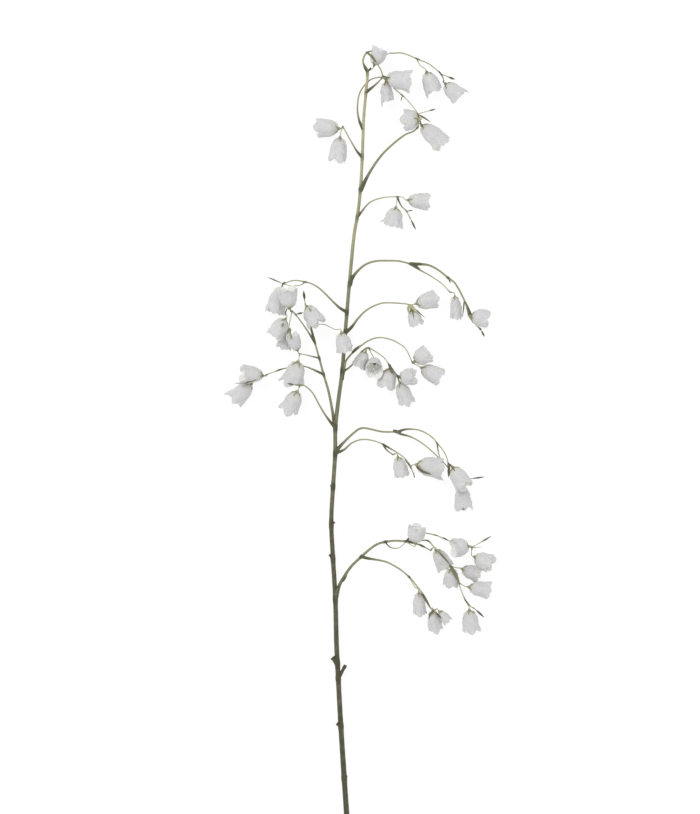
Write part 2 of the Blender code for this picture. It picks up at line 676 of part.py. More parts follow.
def spray_rods(spray):
    """Every rod of a spray: its stalks, its threads with their calyces, and its buds."""
    rods = [stalk_rod(stalk) for stalk in spray.stalks]
    rods += [thread_rod(bell) for bell in spray.bells.values()]
    return rods + [bud_rod(bud) for bud in spray.buds]


def stem_rod(extra=0.0):
    """The stem with its arch. A little extra thickness makes the shape that seats the sprays."""
    points, widths = stem_points()
    ridge = 1 / math.cos(math.pi / STEM_SIDES)
    radii = [(width / 2 + extra * ridge) * MM for width in widths]
    return sweep([place(point) for point in points], radii, STEM_SIDES)


def knuckle_rod(knuckle):
    """A knuckle of the bark, sunk into the stem's centre line."""
    root, end, thickness = knuckle
    radius = thickness * MM / 2
    return sweep([place(root), place(end)], [radius, radius * KNUCKLE_TAPER], STALK_SIDES)


def build():
    for old in list(bpy.data.objects):
        bpy.data.objects.remove(old)
    bark_green = material("stem_green", (0.115, 0.108, 0.062), 0.62)
    thread_green = material("thread_green", (0.23, 0.22, 0.12), 0.6)
    white = material("petal_white", (0.74, 0.74, 0.72), 0.75)
    plant = bpy.data.objects.new("plant", None)
    bpy.context.scene.collection.objects.link(plant)

    knuckles = [knuckle_rod(knuckle) for knuckle in KNUCKLES]
    made = [fuse("main_stem", [stem_rod()] + knuckles + spray_rods(TOP), None, bark_green)]
    bark = stem_rod(SEAT_GAP)
    for name, spray in SPRAYS.items():
        made.append(fuse(name, spray_rods(spray), bark, thread_green))
    bpy.data.objects.remove(bark)
    for spray in [TOP, *SPRAYS.values()]:
        made += [bell_object(name, bell, white) for name, bell in spray.bells.items()]
    for piece in made:
        piece.parent = plant


build()
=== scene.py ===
"""Campanula flower stem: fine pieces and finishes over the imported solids.

A cut stem of white campanula lies on a pale surface. Each solid is replaced by a finer piece in
the same place: the bark with its knuckles, the arching stalks with their threads, cups, sepals and
buds, and the white bells with their ribs, waved lobes, style and anthers.
The plan is laid out in millimetres from the foot of the stem: X across, Y up the stem, Z above the
surface.
"""

import math
import random
from collections import namedtuple

import bmesh
import bpy
from bpy.props import FloatProperty, FloatVectorProperty, IntProperty, PointerProperty
from mathutils import Matrix, Vector, geometry, noise


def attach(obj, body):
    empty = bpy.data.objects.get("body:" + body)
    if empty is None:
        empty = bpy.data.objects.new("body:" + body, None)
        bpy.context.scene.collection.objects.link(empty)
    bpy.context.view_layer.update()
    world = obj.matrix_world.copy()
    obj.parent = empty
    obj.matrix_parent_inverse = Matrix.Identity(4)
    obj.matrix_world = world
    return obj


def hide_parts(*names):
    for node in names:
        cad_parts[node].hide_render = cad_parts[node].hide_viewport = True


bl_info = {
    "name": "Campanula flower stem",
    "version": (1, 0, 0),
    "blender": (4, 5, 0),
    "location": "View3D > Sidebar > Campanula",
    "description": "Builds a cut stem of white campanula that lies on a pale surface",
    "category": "Add Mesh",
}

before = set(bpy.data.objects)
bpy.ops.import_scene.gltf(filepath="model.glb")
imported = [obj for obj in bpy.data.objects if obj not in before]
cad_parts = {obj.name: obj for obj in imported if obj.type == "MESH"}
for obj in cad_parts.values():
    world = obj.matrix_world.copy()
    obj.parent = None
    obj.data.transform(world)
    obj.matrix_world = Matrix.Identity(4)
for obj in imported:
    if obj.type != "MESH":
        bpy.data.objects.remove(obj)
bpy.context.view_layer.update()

MM = 0.001
MIDDLE = (19.0, 496.0)  # the middle of the plan, which becomes the origin
TOP_FORK = 958.8  # how far up the plan the stem forks at its top
PICTURE_MIDDLE = (5.0, 539.6)  # the place on the plan in the middle of the picture
PICTURE_LEVEL = 10 * MM  # the height that the picture is sized at

Stalk = namedtuple("Stalk", "root end points sheath", defaults=(1.0,))
BELL_FIELDS = "way base mouth width flare turn tips bends"
Bell = namedtuple("Bell", BELL_FIELDS, defaults=(1.12, 0, (), ()))
Bud = namedtuple("Bud", "start end thickness neck", defaults=(0.14,))
Spray = namedtuple("Spray", "stalks bells buds scales", defaults=((), {}, (), ()))
Scale = namedtuple("Scale", "width points tone", defaults=(1.0,))

STEM_ROUTE = [
    (2.8, 0), (0.8, 30), (-2.5, 78.8), (-6.6, 143), (-10, 206), (-11.8, 241), (-13.4, 301),
    (-16.6, 356), (-18.4, 397), (-16.1, 441), (-13.5, 482), (-13.2, 514), (-9.1, 551), (-5, 582),
    (-1, 632), (4.1, 692), (10.2, 755), (14.6, 780), (17.9, 810), (20.3, 851), (22.1, 899),
    (24.9, 932), (26.5, TOP_FORK),
]
ARCH_ROUTE = [
    (21.8, 967.5, 18), (21.3, 973, 17), (26, 982, 15), (38.8, 984.5, 10.5), (52.5, 982, 9.5),
    (70.6, 981.5, 13), (88.5, 974.3, 15), (104, 967.5, 15), (118.6, 955.3, 14.5),
    (122.2, 947.5, 14),
]
# Knuckles on the bark, where sprays were: a place on it, where it points, its thickness.
KNUCKLES = [
    ((-2.8, 75, 4.4), (0.2, 79, 4.4), 5.0),
    ((-6.6, 140, 5.4), (-11.4, 144, 5.4), 5.0),
    ((-9.8, 200, 6.3), (-0.6, 216.5, 8), 4.6),
    ((-10.9, 219, 6.6), (-17, 226.5, 6.6), 6.4),
    ((-16.6, 350, 8.6), (-20.2, 355.5, 8.6), 4.6),
    ((-18.6, 392, 9.3), (-15.2, 396.5, 9.3), 5.0),
    ((-15.9, 439.8, 9.8), (-19, 442.4, 9.8), 4.2),
    ((26.3, 957, 18), (31, 962.5, 19), 2.2),
]

TOP = Spray(
    bells={
        "bell_top_1": Bell([(26.4, 957.5, 18)], (35.5, 967, 19), (44, 987, 23), 20, 1.2, 36),
        "bell_top_2": Bell(
            [(88.5, 974.3, 15), (92.5, 966, 16)],
            (101, 956.5, 16), (110.5, 932, 15), 22, 1.05, 0, (-0.05, 0.18, -0.1),
        ),
        "bell_top_3": Bell(
            [(122.2, 947.5, 14)],
            (125, 942.5, 13.5), (143, 925.5, 12.15), 22, 1.1, 0, (-0.05, -0.08, 0.14),
        ),
    },
    buds=[Bud((118.6, 955.3, 14.5), (136.2, 948.4, 15), 2.8, 0.5)],
    scales=[
        Scale(3.0, [(26.5, 957, 20), (23.3, 963, 20.5), (21.6, 969.5, 19.4)]),
        Scale(1.8, [(86, 975.5, 15.8), (89.5, 974, 16.3), (93.5, 972, 16)]),
        Scale(2.0, [(115.5, 959, 15.6), (119, 954.5, 15.8), (122, 949, 15)]),
    ],
)

SPRAYS = {
    "spray_01": Spray(
        stalks=[
            Stalk(2.0, 1.3, [(24.9, 932, 17.6), (37.1, 942, 18), (46, 951, 17)]),
            Stalk(1.9, 1.2, [
                (21, 886, 16.9), (16, 899, 15), (14.3, 915, 13), (18, 934, 11), (30, 948, 12.5),
                (39.5, 951, 15), (46, 951, 17),
            ]),
            Stalk(1.4, 1.2, [
                (26, 982, 15), (27.8, 979.7, 24), (34, 972, 31.5), (40.5, 964, 29), (44.5, 957, 22),
                (46, 951, 17),
            ]),
            Stalk(1.2, 0.9, [
                (46, 951, 17), (55.5, 944, 12.5), (60, 938, 11), (70.5, 929, 11), (77.5, 922, 13),
                (85, 912.5, 17), (89.6, 905, 21),
            ]),
        ],
        bells={
            "bell_01_1": Bell([(46, 951, 17)], (51, 949, 23), (82, 944.8, 26), 25, 1.24, 36),
            "bell_01_2": Bell(
                [(46, 951, 17)],
                (49.5, 944, 14), (51.7, 921, 10.5), 16.5, 1.0, 0, (-0.02, 0.3, -0.04),
            ),
            "bell_01_3": Bell(
                [(89.6, 905, 21)],
                (90, 897.8, 24.2), (73.5, 897.5, 16.2), 26, 1.0, 0, (0.02, -0.08, -0.08),
            ),
        },
        buds=[
            Bud((70.5, 929, 11), (68.5, 921.5, 11), 1.4),
            Bud((89.6, 905, 21), (112, 911, 22), 2.2, 0.6),
        ],
        scales=[
            Scale(2.6, [(27.8, 980.5, 25.2), (34, 972.5, 32.8), (40, 965, 30.6)]),
            Scale(2.2, [(45.5, 952.5, 20), (49, 950.5, 27), (54, 947.5, 34)]),
            Scale(1.8, [(46, 951, 20), (49.5, 946.5, 25), (53.5, 941, 27)]),
            Scale(2.0, [(88.8, 906, 22), (91.5, 898, 25), (95, 888.5, 20)]),
            Scale(2.2, [(91, 903.5, 22.5), (98, 899.5, 24), (106, 894, 23)]),
        ],
    ),
    "spray_02": Spray(
        stalks=[
            Stalk(1.9, 1.2, [(20.3, 851, 16.3), (12.5, 860.4, 17.5), (-4.1, 890, 16)]),
        ],
        bells={
            "bell_02_1": Bell(
                [(-4.1, 890, 16)],
                (-10, 887.3, 15), (-38.5, 888.6, 13.6), 24.5, 1.0, 0, (0.1, -0.12, -0.18), (0, -0.2, 0),
            ),
            "bell_02_2": Bell(
                [(-4.1, 890, 16), (-6.5, 882, 15.5)],
                (-7.5, 875, 14.5), (-11.5, 845, 13.4), 22.5, 1.02, -20, (0.06, -0.1, -0.1), (0, 0, -0.2),
            ),
        },
    ),
    "spray_03": Spray(
        stalks=[
            Stalk(3.0, 1.3, [
                (17.9, 810, 15.7), (30, 833, 17.5), (43.8, 853, 17.5), (58.8, 868, 15),
                (74, 880, 9.6), (84, 884.3, 8.4), (90, 889, 11),
            ]),
        ],
        bells={
            "bell_03_1": Bell(
                [(90, 889, 11)],
                (95.5, 890.5, 14.5), (123, 866.5, 13.8), 24, 1.12, 0, (0.0, 0.0, 0.02), (0, 0.26, 0),
            ),
        },
    ),
    "spray_04": Spray(
        stalks=[
            Stalk(1.7, 1.0, [
                (14.6, 777, 15.2), (28.5, 793.8, 18), (39, 799, 18), (51, 801.4, 17.5),
                (64, 802, 17),
            ], 0.7),
            Stalk(1.2, 0.9, [(64, 802, 17), (68.6, 791, 18), (75.4, 784, 18), (80, 775.6, 16)]),
        ],
        bells={
            "bell_04_1": Bell(
                [(64, 802, 17), (72, 801, 16)],
                (78.5, 797.8, 15.5), (104, 796, 13.6), 20.5, 1.05, 36,
            ),
            "bell_04_2": Bell(
                [(64, 802, 17)],
                (62, 787.5, 14.5), (57.5, 764.5, 14), 23, 1.15, 5, (0.02, 0.0, 0.04), (0, 0.3, 0),
            ),
        },
        buds=[
            Bud((75.4, 784, 18), (84, 785, 18), 1.6),
            Bud((80, 775.6, 16), (87.5, 760.4, 14), 2.6),
        ],
    ),
    "spray_05": Spray(
        stalks=[
            Stalk(2.6, 1.7, [
                (5, 692, 13.9), (7.8, 700.4, 16), (15.3, 710, 18), (24.8, 717.5, 19.5),
                (36.9, 721.4, 20.5), (51.9, 722, 20.5), (66.8, 721.4, 20), (80.3, 718, 19),
            ]),
            Stalk(2.2, 1.6, [
                (80.3, 718, 19), (102, 716.6, 21), (115.5, 710, 21.5), (127.5, 700.4, 20),
                (136, 693.8, 20), (148.5, 670.5, 19), (153.5, 654.3, 16), (158.8, 646.3, 12),
                (168.4, 636.6, 9),
            ]),
            Stalk(1.5, 1.0, [
                (80.3, 718, 19), (92.5, 710.5, 15), (106, 703, 13), (119.6, 693.8, 12),
                (130, 683, 12),
            ]),
        ],
        bells={
            "bell_05_1": Bell(
                [(130, 683, 12)],
                (136, 677, 11.5), (138.5, 649, 10.5), 15.5, 1.0, 0, (0.05, -0.08, -0.1),
            ),
            "bell_05_2": Bell(
                [(153.5, 654.3, 16)],
                (157, 652.5, 23), (178, 648.5, 27), 23, 1.0, 0, (0.0, -0.08, -0.1),
            ),
        },
        buds=[
            Bud((168.4, 636.6, 9), (173.5, 627, 8), 2.6),
            Bud((127.5, 700.4, 20), (130.5, 694, 20), 2.0),
        ],
        scales=[
            Scale(3.0, [(79, 719, 20), (86, 716, 21), (93, 711.5, 17)]),
            Scale(3.0, [(148.5, 671, 20.2), (154, 659, 18.5), (160.5, 648, 13.5)]),
            Scale(1.8, [(147.5, 673, 20), (146.5, 662, 21), (145, 651, 21)]),
        ],
    ),
    "spray_06": Spray(
        stalks=[
            Stalk(2.1, 1.1, [
                (2, 657.5, 13.3), (-9, 664.3, 15.5), (-32, 686.6, 18), (-42.9, 693.4, 18.5),
                (-51, 695.6, 18.5), (-64.6, 697.5, 18), (-78.5, 693.4, 16.5),
            ]),
            Stalk(1.0, 0.8, [
                (-51, 695.6, 18.5), (-56, 692, 18), (-67.5, 690.8, 16.5), (-78.5, 693.4, 16.5),
            ], 0.2),
        ],
        bells={
            "bell_06_1": Bell(
                [(-78.5, 693.4, 16.5)],
                (-80.5, 688, 14.5), (-90.5, 656.5, 13), 23.5, 1.06, 0, (0.0, -0.08, -0.04),
                (0, -0.18, 0),
            ),
        },
        buds=[Bud((-78.5, 693.4, 16.5), (-98.5, 702, 17), 1.8)],
        scales=[
            Scale(2.6, [(-75.5, 695.5, 17.6), (-78.5, 693.4, 18), (-80, 689, 17)]),
        ],
    ),
    "spray_07": Spray(
        stalks=[
            Stalk(2.4, 1.2, [
                (-1, 632, 12.9), (7, 639.4, 15), (15.3, 650.3, 17), (24.8, 659.8, 18),
                (36.9, 666.5, 18), (47.8, 669.5, 18), (73.5, 668.5, 16), (80, 666.8, 15),
            ]),
        ],
        bells={
            "bell_07_1": Bell(
                [(80, 666.8, 15)],
                (88.5, 668.8, 15), (114.5, 675.5, 13.8), 21.5, 1.08, 0, (0.08, -0.1, -0.12),
            ),
            "bell_07_2": Bell([(80, 666.8, 15)], (82, 660.5, 14), (89, 641.5, 12.5), 18, 1.1, 30),
        },
        scales=[
            Scale(1.6, [(80, 667.5, 16), (91, 657.5, 22), (99.5, 650, 20)]),
            Scale(1.6, [(80, 667.5, 16), (83, 657, 22), (85, 648.5, 23)]),
            Scale(3.6, [(79, 667.3, 16.4), (77.6, 661.5, 19.6), (79, 655, 21)], 0.34),
            Scale(4.2, [(79.5, 667.3, 16.4), (84.5, 662.5, 21.8), (89.5, 656.5, 23)], 0.3),
        ],
    ),
    "spray_08": Spray(
        stalks=[
            Stalk(2.1, 1.0, [
                (-4.7, 585, 12.2), (-0.3, 596.8, 15), (7, 606, 19), (12.5, 610.6, 21),
                (19.4, 616.4, 22), (27.5, 622, 21.5), (38, 625.8, 21), (47.4, 625.8, 20.5),
                (58.8, 622.6, 20), (68, 617.5, 19), (74.4, 612.3, 18), (83, 595, 15.5),
            ], 0.3),
            Stalk(2.2, 2.0, [(-4.8, 574, 12), (-0.3, 596.8, 15)], 0.6),
            Stalk(1.8, 1.0, [
                (-4.7, 583, 12.2), (2.8, 588, 10), (9, 594, 6), (14, 602, 4), (20, 609, 7),
                (27, 613.5, 14), (38, 608, 20), (47.4, 601, 23), (53.6, 592.6, 23),
            ], 0.4),
            Stalk(1.1, 1.0, [(53.6, 592.6, 23), (63.5, 579, 23)]),
        ],
        bells={
            "bell_08_1": Bell(
                [(83, 595, 15.5)],
                (86.5, 597, 16), (104, 608.5, 18), 23, 1.05, 0, (0.08, -0.08, -0.1),
            ),
            "bell_08_2": Bell([(83, 595, 15.5)], (95.4, 588, 13.5), (119, 575.3, 13.6), 23, 1.08, 36),
            "bell_08_3": Bell(
                [(20, 609, 7)],
                (24, 607.5, 13.5), (15, 588.5, 15.5), 17.5, 1.1, 0, (0.0, -0.05, 0.0),
            ),
            "bell_08_4": Bell([(28.3, 612.8, 14.7)], (35.5, 597, 10.5), (35, 585, 31), 21, 1.1, 0),
            "bell_08_5": Bell([(53.6, 592.6, 23)], (54.4, 586.5, 18), (49.2, 563.5, 13), 23, 1.02, 36),
            "bell_08_6": Bell(
                [(63.5, 579, 23)],
                (68, 577, 24), (85.5, 577.5, 30), 21.5, 1.02, 0, (0.0, -0.08, -0.08),
            ),
            "bell_08_7": Bell(
                [(63.5, 579, 23)],
                (67.5, 569, 15.5), (77.5, 542.5, 12.6), 20, 1.12, 0, (0.06, -0.16, 0.0),
            ),
        },
        scales=[
            Scale(3.6, [(7.5, 607, 21), (12.5, 611.8, 23), (20, 617.5, 22.8)]),
            Scale(3.0, [(53, 593.5, 24), (56, 586.5, 25), (59.5, 580.5, 24.6)]),
            Scale(2.4, [(62.5, 580, 24), (65, 576, 25), (65.5, 570.5, 24)]),
            Scale(2.2, [(63, 579.5, 24), (68, 576.5, 31), (72.5, 573, 34.5)]),
        ],
    ),
    "spray_09": Spray(
        stalks=[
            Stalk(2.8, 1.8, [
                (-13.2, 513, 11), (-21.3, 557, 15.5), (-28, 580.3, 17), (-33.4, 600.5, 18),
                (-38.8, 620, 18.5),
            ]),
            Stalk(1.5, 0.9, [
                (-38.8, 620, 18.5), (-44.3, 642.5, 12), (-48, 655, 12), (-50.8, 667.5, 18),
            ]),
            Stalk(1.6, 1.1, [
                (-38.8, 620, 18.5), (-47, 633, 19), (-56.5, 646.6, 21), (-63, 655, 24),
                (-67, 659, 27),
            ]),
            Stalk(1.0, 0.8, [(-33.4, 600.5, 18), (-52, 605, 22), (-57.5, 606, 24.5)]),
            Stalk(1.6, 1.0, [
                (-28, 580.3, 17), (-49.6, 589.8, 11), (-60, 590.5, 10), (-71.4, 589, 10.5),
                (-79.5, 587, 12.5), (-99, 580, 18),
            ]),
            Stalk(2.1, 1.0, [
                (-13.2, 513, 11), (-25.3, 528.8, 15), (-33.4, 542.3, 19), (-41.5, 557, 25),
                (-51, 565.8, 30), (-57, 566.8, 32), (-63, 567, 33),
            ]),
        ],
        bells={
            "bell_09_1": Bell(
                [(-67, 659, 27)],
                (-70, 663.5, 30), (-74, 687.5, 37), 23.5, 1.08, 0, (0.02, -0.04, 0.02),
            ),
            "bell_09_2": Bell(
                [(-50.8, 667.5, 18)],
                (-48.5, 664, 24), (-35, 642, 28), 22, 1.08, 20,
            ),
            "bell_09_3": Bell(
                [(-67, 659, 27), (-73, 661.5, 28.5), (-75.3, 657, 29)],
                (-76, 648, 28), (-90.5, 626.5, 29), 22.5, 1.06, 0, (0.0, -0.14, -0.05), (0, -0.28, 0),
            ),
            "bell_09_4": Bell(
                [(-67, 659, 27), (-70, 646, 20), (-71.5, 638, 14)],
                (-72.5, 634, 11.5), (-79, 612, 10.6), 18, 1.08, 0, (0.05, -0.02, -0.05),
            ),
            "bell_09_5": Bell(
                [(-57.5, 606, 24.5)],
                (-60.5, 611, 28), (-67.5, 629.5, 36), 16.5, 1.02, 0, (0.04, -0.06, -0.06),
            ),
            "bell_09_6": Bell(
                [(-44.3, 642.5, 12), (-34, 643, 10), (-26.6, 642.5, 14), (-13, 636, 27)],
                (-5.5, 631, 31), (-1, 607.5, 30.5), 20, 1.1, 0, (0.05, -0.05, -0.15), (0, 0, 0.4),
            ),
            "bell_09_7": Bell(
                [(-57.5, 606, 24.5)],
                (-60, 595, 25), (-67.3, 568.5, 15.5), 26.5, 1.25, 20, (0.03, 0.02, -0.06),
                (0, 0, 0.12),
            ),
            "bell_09_8": Bell(
                [(-99, 580, 18)],
                (-104.5, 578.8, 20.5), (-131.5, 581.5, 27), 22, 1.1, 0, (-0.12, 0.0, 0.1),
            ),
            "bell_09_9": Bell(
                [(-99, 580, 18), (-106, 576, 14), (-112, 572.3, 12.6)],
                (-119, 567.5, 13.2), (-141, 547.5, 12.69), 22, 1.15, -6, (0.09, 0.12, -0.02),
            ),
            "bell_09_10": Bell(
                [(-57, 566.8, 32)],
                (-61, 558, 25), (-72, 533.5, 14), 23, 1.1, 0, (0.05, 0.0, -0.1), (0, 0.16, 0),
            ),
        },
        buds=[
            Bud((-63, 655, 24), (-53, 657.2, 24), 2.6),
            Bud((-50.8, 667.5, 18), (-53, 685, 19), 3.4, 0.3),
            Bud((-63, 567, 33), (-73.5, 569, 33), 2.0),
        ],
        scales=[
            Scale(2.4, [(-39, 621, 18.6), (-43, 634, 16), (-46.5, 645, 13.2)]),
            Scale(1.8, [(-73.6, 662, 29), (-75, 657.5, 30.4), (-75.6, 652, 30)]),
            Scale(3.0, [(-77.4, 643.5, 38), (-78.6, 640.8, 39.8), (-79.6, 638, 40.2)], 0.6),
            Scale(2.4, [(-69.8, 638, 25), (-69.2, 635, 25.5), (-68.8, 632, 25)], 0.6),
            Scale(2.8, [(-68.8, 629.5, 43.6), (-68.1, 626.5, 44.6), (-67.6, 623, 44)], 0.6),
            Scale(2.8, [(-45.6, 662.6, 34), (-44.5, 660.3, 35.6), (-43.6, 658, 36.2)], 0.6),
            Scale(2.2, [(-89, 583.6, 15), (-82.5, 586.2, 14.4), (-75.5, 588.4, 12.8)]),
            Scale(2.8, [
                (-104, 579, 27), (-116, 572.5, 30.5), (-127, 569.6, 28.5), (-139.5, 569, 26),
            ], 0.8),
        ],
    ),
    "spray_10": Spray(
        stalks=[
            Stalk(2.6, 1.7, [
                (-14, 481, 10.6), (-6.5, 491.6, 13), (13.8, 510.6, 17), (22, 513.4, 18),
                (45, 508.9, 19), (64, 508.6, 19),
            ]),
            Stalk(1.6, 1.1, [
                (64, 508.6, 19), (74.9, 511.8, 20), (88.4, 511.3, 21.5), (99.3, 507.3, 22),
                (108.8, 500.5, 22), (113.5, 494.4, 22), (119.6, 487.5, 22), (125, 478, 22),
                (127.5, 468.8, 22),
            ]),
            Stalk(1.6, 1.0, [
                (64, 508.6, 19), (66.8, 506.5, 18), (80.3, 502.5, 16.5), (91, 497, 15.5),
                (102, 489, 13), (119, 473.3, 6.5), (125, 467, 5.5), (132, 458, 6), (141, 448, 8.5),
            ]),
            Stalk(0.9, 0.8, [(113.5, 494.4, 22), (115.5, 482, 17), (119, 473.3, 6.5)]),
            Stalk(1.9, 1.2, [
                (-14, 481, 10.6), (-2.5, 486.3, 12), (7, 494.4, 13), (16.6, 498.4, 14),
                (26, 499, 14.5), (38.3, 496.4, 15), (46.3, 493, 15),
            ]),
            Stalk(1.3, 0.9, [
                (46.3, 493, 15), (66.8, 480.8, 21), (74.9, 474, 23), (80.3, 464.5, 23),
                (84.5, 456, 21.5),
            ]),
            Stalk(1.2, 0.9, [(46.3, 493, 15), (50.5, 486.3, 14), (58.5, 480, 13)]),
        ],
        bells={
            "bell_10_1": Bell(
                [(80.3, 464.5, 23)],
                (89, 467.3, 20), (121.5, 462.8, 15.2), 26, 1.04, 0, (0.0, 0.04, -0.03),
            ),
            "bell_10_2": Bell(
                [(127.5, 468.8, 22)],
                (133.5, 463.5, 24.5), (149, 438.5, 32), 23, 1.1, 15,
            ),
            "bell_10_3": Bell(
                [(141, 448, 8.5)],
                (145, 439, 11.5), (147, 411, 12.6), 22, 1.14, 36, (0.08, -0.08, -0.04), (0, 0, 0.12),
            ),
            "bell_10_4": Bell(
                [(58.5, 480, 13)],
                (65, 476, 11.5), (71, 451, 11), 19, 0.98, 0, (0.0, -0.1, -0.1),
            ),
        },
        buds=[
            Bud((127.5, 468.8, 22), (127.2, 453, 24), 2.0),
            Bud((84.5, 456, 21.5), (85.5, 451, 21), 1.6),
            Bud((141, 448, 8.5), (174, 452.4, 13), 2.2, 0.5),
        ],
        scales=[
            Scale(4.4, [(58.5, 510.3, 20), (64.5, 508.3, 21.3), (71, 505.5, 19)]),
            Scale(2.6, [(73.5, 475, 23.4), (79.5, 466.5, 24), (83.5, 458, 22.6)]),
            Scale(3.2, [(87.5, 465.5, 27), (95, 459.5, 29.5), (107, 455.5, 28)]),
            Scale(3.2, [(127.3, 469.5, 22), (128.5, 461, 24), (128, 451.5, 24)]),
            Scale(2.0, [(127.5, 469.5, 23), (132, 464.5, 31), (137, 458, 36)]),
        ],
    ),
    "spray_11": Spray(
        stalks=[
            Stalk(3.2, 1.9, [
                (-13.4, 299, 7.8), (-9, 315, 10), (-2.5, 327.5, 12.5), (7, 341, 15),
                (19.3, 353, 17), (30, 362.5, 18), (39.6, 368.8, 18.5), (49, 371.4, 19),
                (61.3, 372.8, 19), (74.9, 372, 19),
            ]),
            Stalk(0.9, 0.8, [
                (49, 371.4, 19), (54.5, 365, 16), (64, 363.3, 16), (71.5, 368, 18), (74.9, 372, 19),
            ]),
            Stalk(1.4, 1.0, [(74.9, 372, 19), (91.3, 367.5, 15), (106, 360.5, 14)]),
            Stalk(1.5, 0.9, [
                (74.9, 372, 19), (86.3, 371.3, 18), (97, 373.5, 20), (103, 372.3, 24),
                (109, 366, 28), (114.5, 361, 30), (131.3, 341.5, 33.5), (137, 330, 33),
                (140, 321.3, 29), (148, 300.3, 19), (153.5, 292, 16), (160, 288.3, 14.5),
            ]),
            Stalk(1.3, 0.9, [
                (74.9, 372, 19), (84, 380, 13), (93, 383, 13.5), (101.3, 382, 17),
                (112.5, 379.5, 19), (120, 376.3, 18), (127.5, 373, 13), (138, 369, 9),
                (149, 365.5, 12), (157, 364.5, 18),
            ]),
            Stalk(0.8, 0.6, [(157, 364.5, 18), (168, 364.5, 18)], 0.0),
            Stalk(2.0, 1.3, [
                (19.3, 353, 17), (26, 351, 16), (47.8, 347, 16), (58.6, 342.3, 16),
                (69.5, 335.5, 17), (78.8, 327.5, 18), (87, 318, 19), (95.5, 306.6, 20),
                (104, 290.5, 22), (110, 286, 24),
            ]),
        ],
        bells={
            "bell_11_1": Bell(
                [(74.9, 372, 19), (80.5, 368, 24)],
                (86.5, 371, 28), (88.5, 392.5, 33), 22.5, 0.95, 36, (-0.06, -0.14, -0.06),
            ),
            "bell_11_2": Bell(
                [(157, 364.5, 18)],
                (151.5, 366, 25), (132, 364, 30), 24, 1.04, 0, (0.0, -0.08, -0.08),
            ),
            "bell_11_3": Bell(
                [(157, 364.5, 18)],
                (161, 352.5, 26), (181.5, 343.5, 33), 22.5, 1.05, 0, (0.08, -0.1, -0.12),
            ),
            "bell_11_4": Bell(
                [(131.3, 341.5, 33.5), (139.5, 339, 22)],
                (146, 337, 12), (168, 329, 11), 19, 1.08, 0,
            ),
            "bell_11_5": Bell(
                [(140, 321.3, 29)],
                (154, 315, 22), (180.5, 310.5, 22), 20.5, 1.12, 0, (0.02, -0.12, 0.0),
            ),
            "bell_11_6": Bell(
                [(106, 360.5, 14)],
                (112.7, 360.3, 12.5), (125.5, 338, 10.6), 20, 1.1, 0, (0.0, 0.02, -0.02),
            ),
            "bell_11_7": Bell(
                [(131.3, 341.5, 33.5)],
                (131.3, 337, 28), (131, 318, 17), 19, 1.05, 20,
            ),
            "bell_11_8": Bell(
                [(148, 300.3, 19)],
                (154, 285, 14), (157, 257.5, 12.6), 22, 1.04, 0, (0.06, -0.14, -0.03),
            ),
            "bell_11_9": Bell(
                [(78.8, 327.5, 18), (86, 315, 15)],
                (91, 306.5, 11.5), (92.3, 279, 10.5), 17, 1.02, 0, (0.05, -0.12, -0.1),
            ),
            "bell_11_10": Bell(
                [(110, 286, 24)],
                (108.3, 284, 15), (113.3, 258.5, 11.5), 18.5, 1.0, 0, (0.06, -0.14, -0.14),
            ),
            "bell_11_11": Bell(
                [(110, 286, 24)],
                (116.5, 284.5, 23.5), (127.8, 271.5, 22), 12.5, 1.05, 0,
            ),
        },
        buds=[
            Bud((160, 288.3, 14.5), (173, 276.5, 13), 2.8),
            Bud((157, 364.5, 18), (181.6, 378.8, 20), 2.2, 0.45),
            Bud((110, 286, 24), (118.5, 276, 29.5), 2.8),
        ],
        scales=[
            Scale(4.6, [(-13.4, 299, 10.5), (-12, 307, 12.5), (-10, 314.5, 13.6)]),
            Scale(4.0, [(-4.6, 321.5, 15), (-1.4, 327, 15.8), (1.8, 332, 16.2)]),
            Scale(2.6, [(90.5, 368.3, 15.8), (96.5, 365.5, 15.6), (101.5, 362.8, 15)]),
            Scale(1.8, [(98, 374, 21), (102.5, 373, 24.8), (106.5, 370, 27.5)]),
            Scale(1.8, [(107, 380.8, 18.8), (112.5, 379.6, 19.8), (117.5, 377.8, 19.4)]),
            Scale(2.0, [(120, 376.6, 18.8), (124, 375, 16.8), (128, 373, 13.8)]),
            Scale(2.4, [(110, 365, 28.8), (121, 353.5, 33), (131, 342, 34.6)]),
            Scale(4.8, [(129, 343.5, 34.6), (136, 331.5, 35.4), (142, 318.5, 29)], 0.85),
            Scale(2.0, [(148.5, 299.8, 19.6), (152, 294.5, 17.6), (156, 291, 16.6)]),
            Scale(3.4, [(93.5, 309.5, 20.4), (100, 298.5, 22.4), (106, 289, 24)]),
            Scale(2.2, [(109, 286.5, 23.6), (104.5, 281, 20), (104, 273, 19)]),
        ],
    ),
}


UP = Vector((0, 0, 1))
LOBES = 5
STEM_SIDES = 20
STALK_SIDES = 10
CUP_SIDES = 15
# Spacing of the rings or rows along each kind of rod and blade.
STEM_STEP = 2.2 * MM
STALK_STEP = 1.6 * MM
STYLE_STEP = 1.5 * MM
ANTHER_STEP = 1.2 * MM
SCALE_STEP = 1.2 * MM
BUD_STEP = 0.7 * MM
STIGMA_STEP = 0.6 * MM
CUP_STEP = 0.5 * MM
# Ribs round each kind of rod: how many there are, how far they stand out.
BARK_RIBS = (6, 0.022)
STALK_RIBS = (5, 0.05)
STUB_RIBS = (4, 0.05)
BUD_RIBS = (5, 0.06)
CUP_RIBS = (LOBES, 0.07)

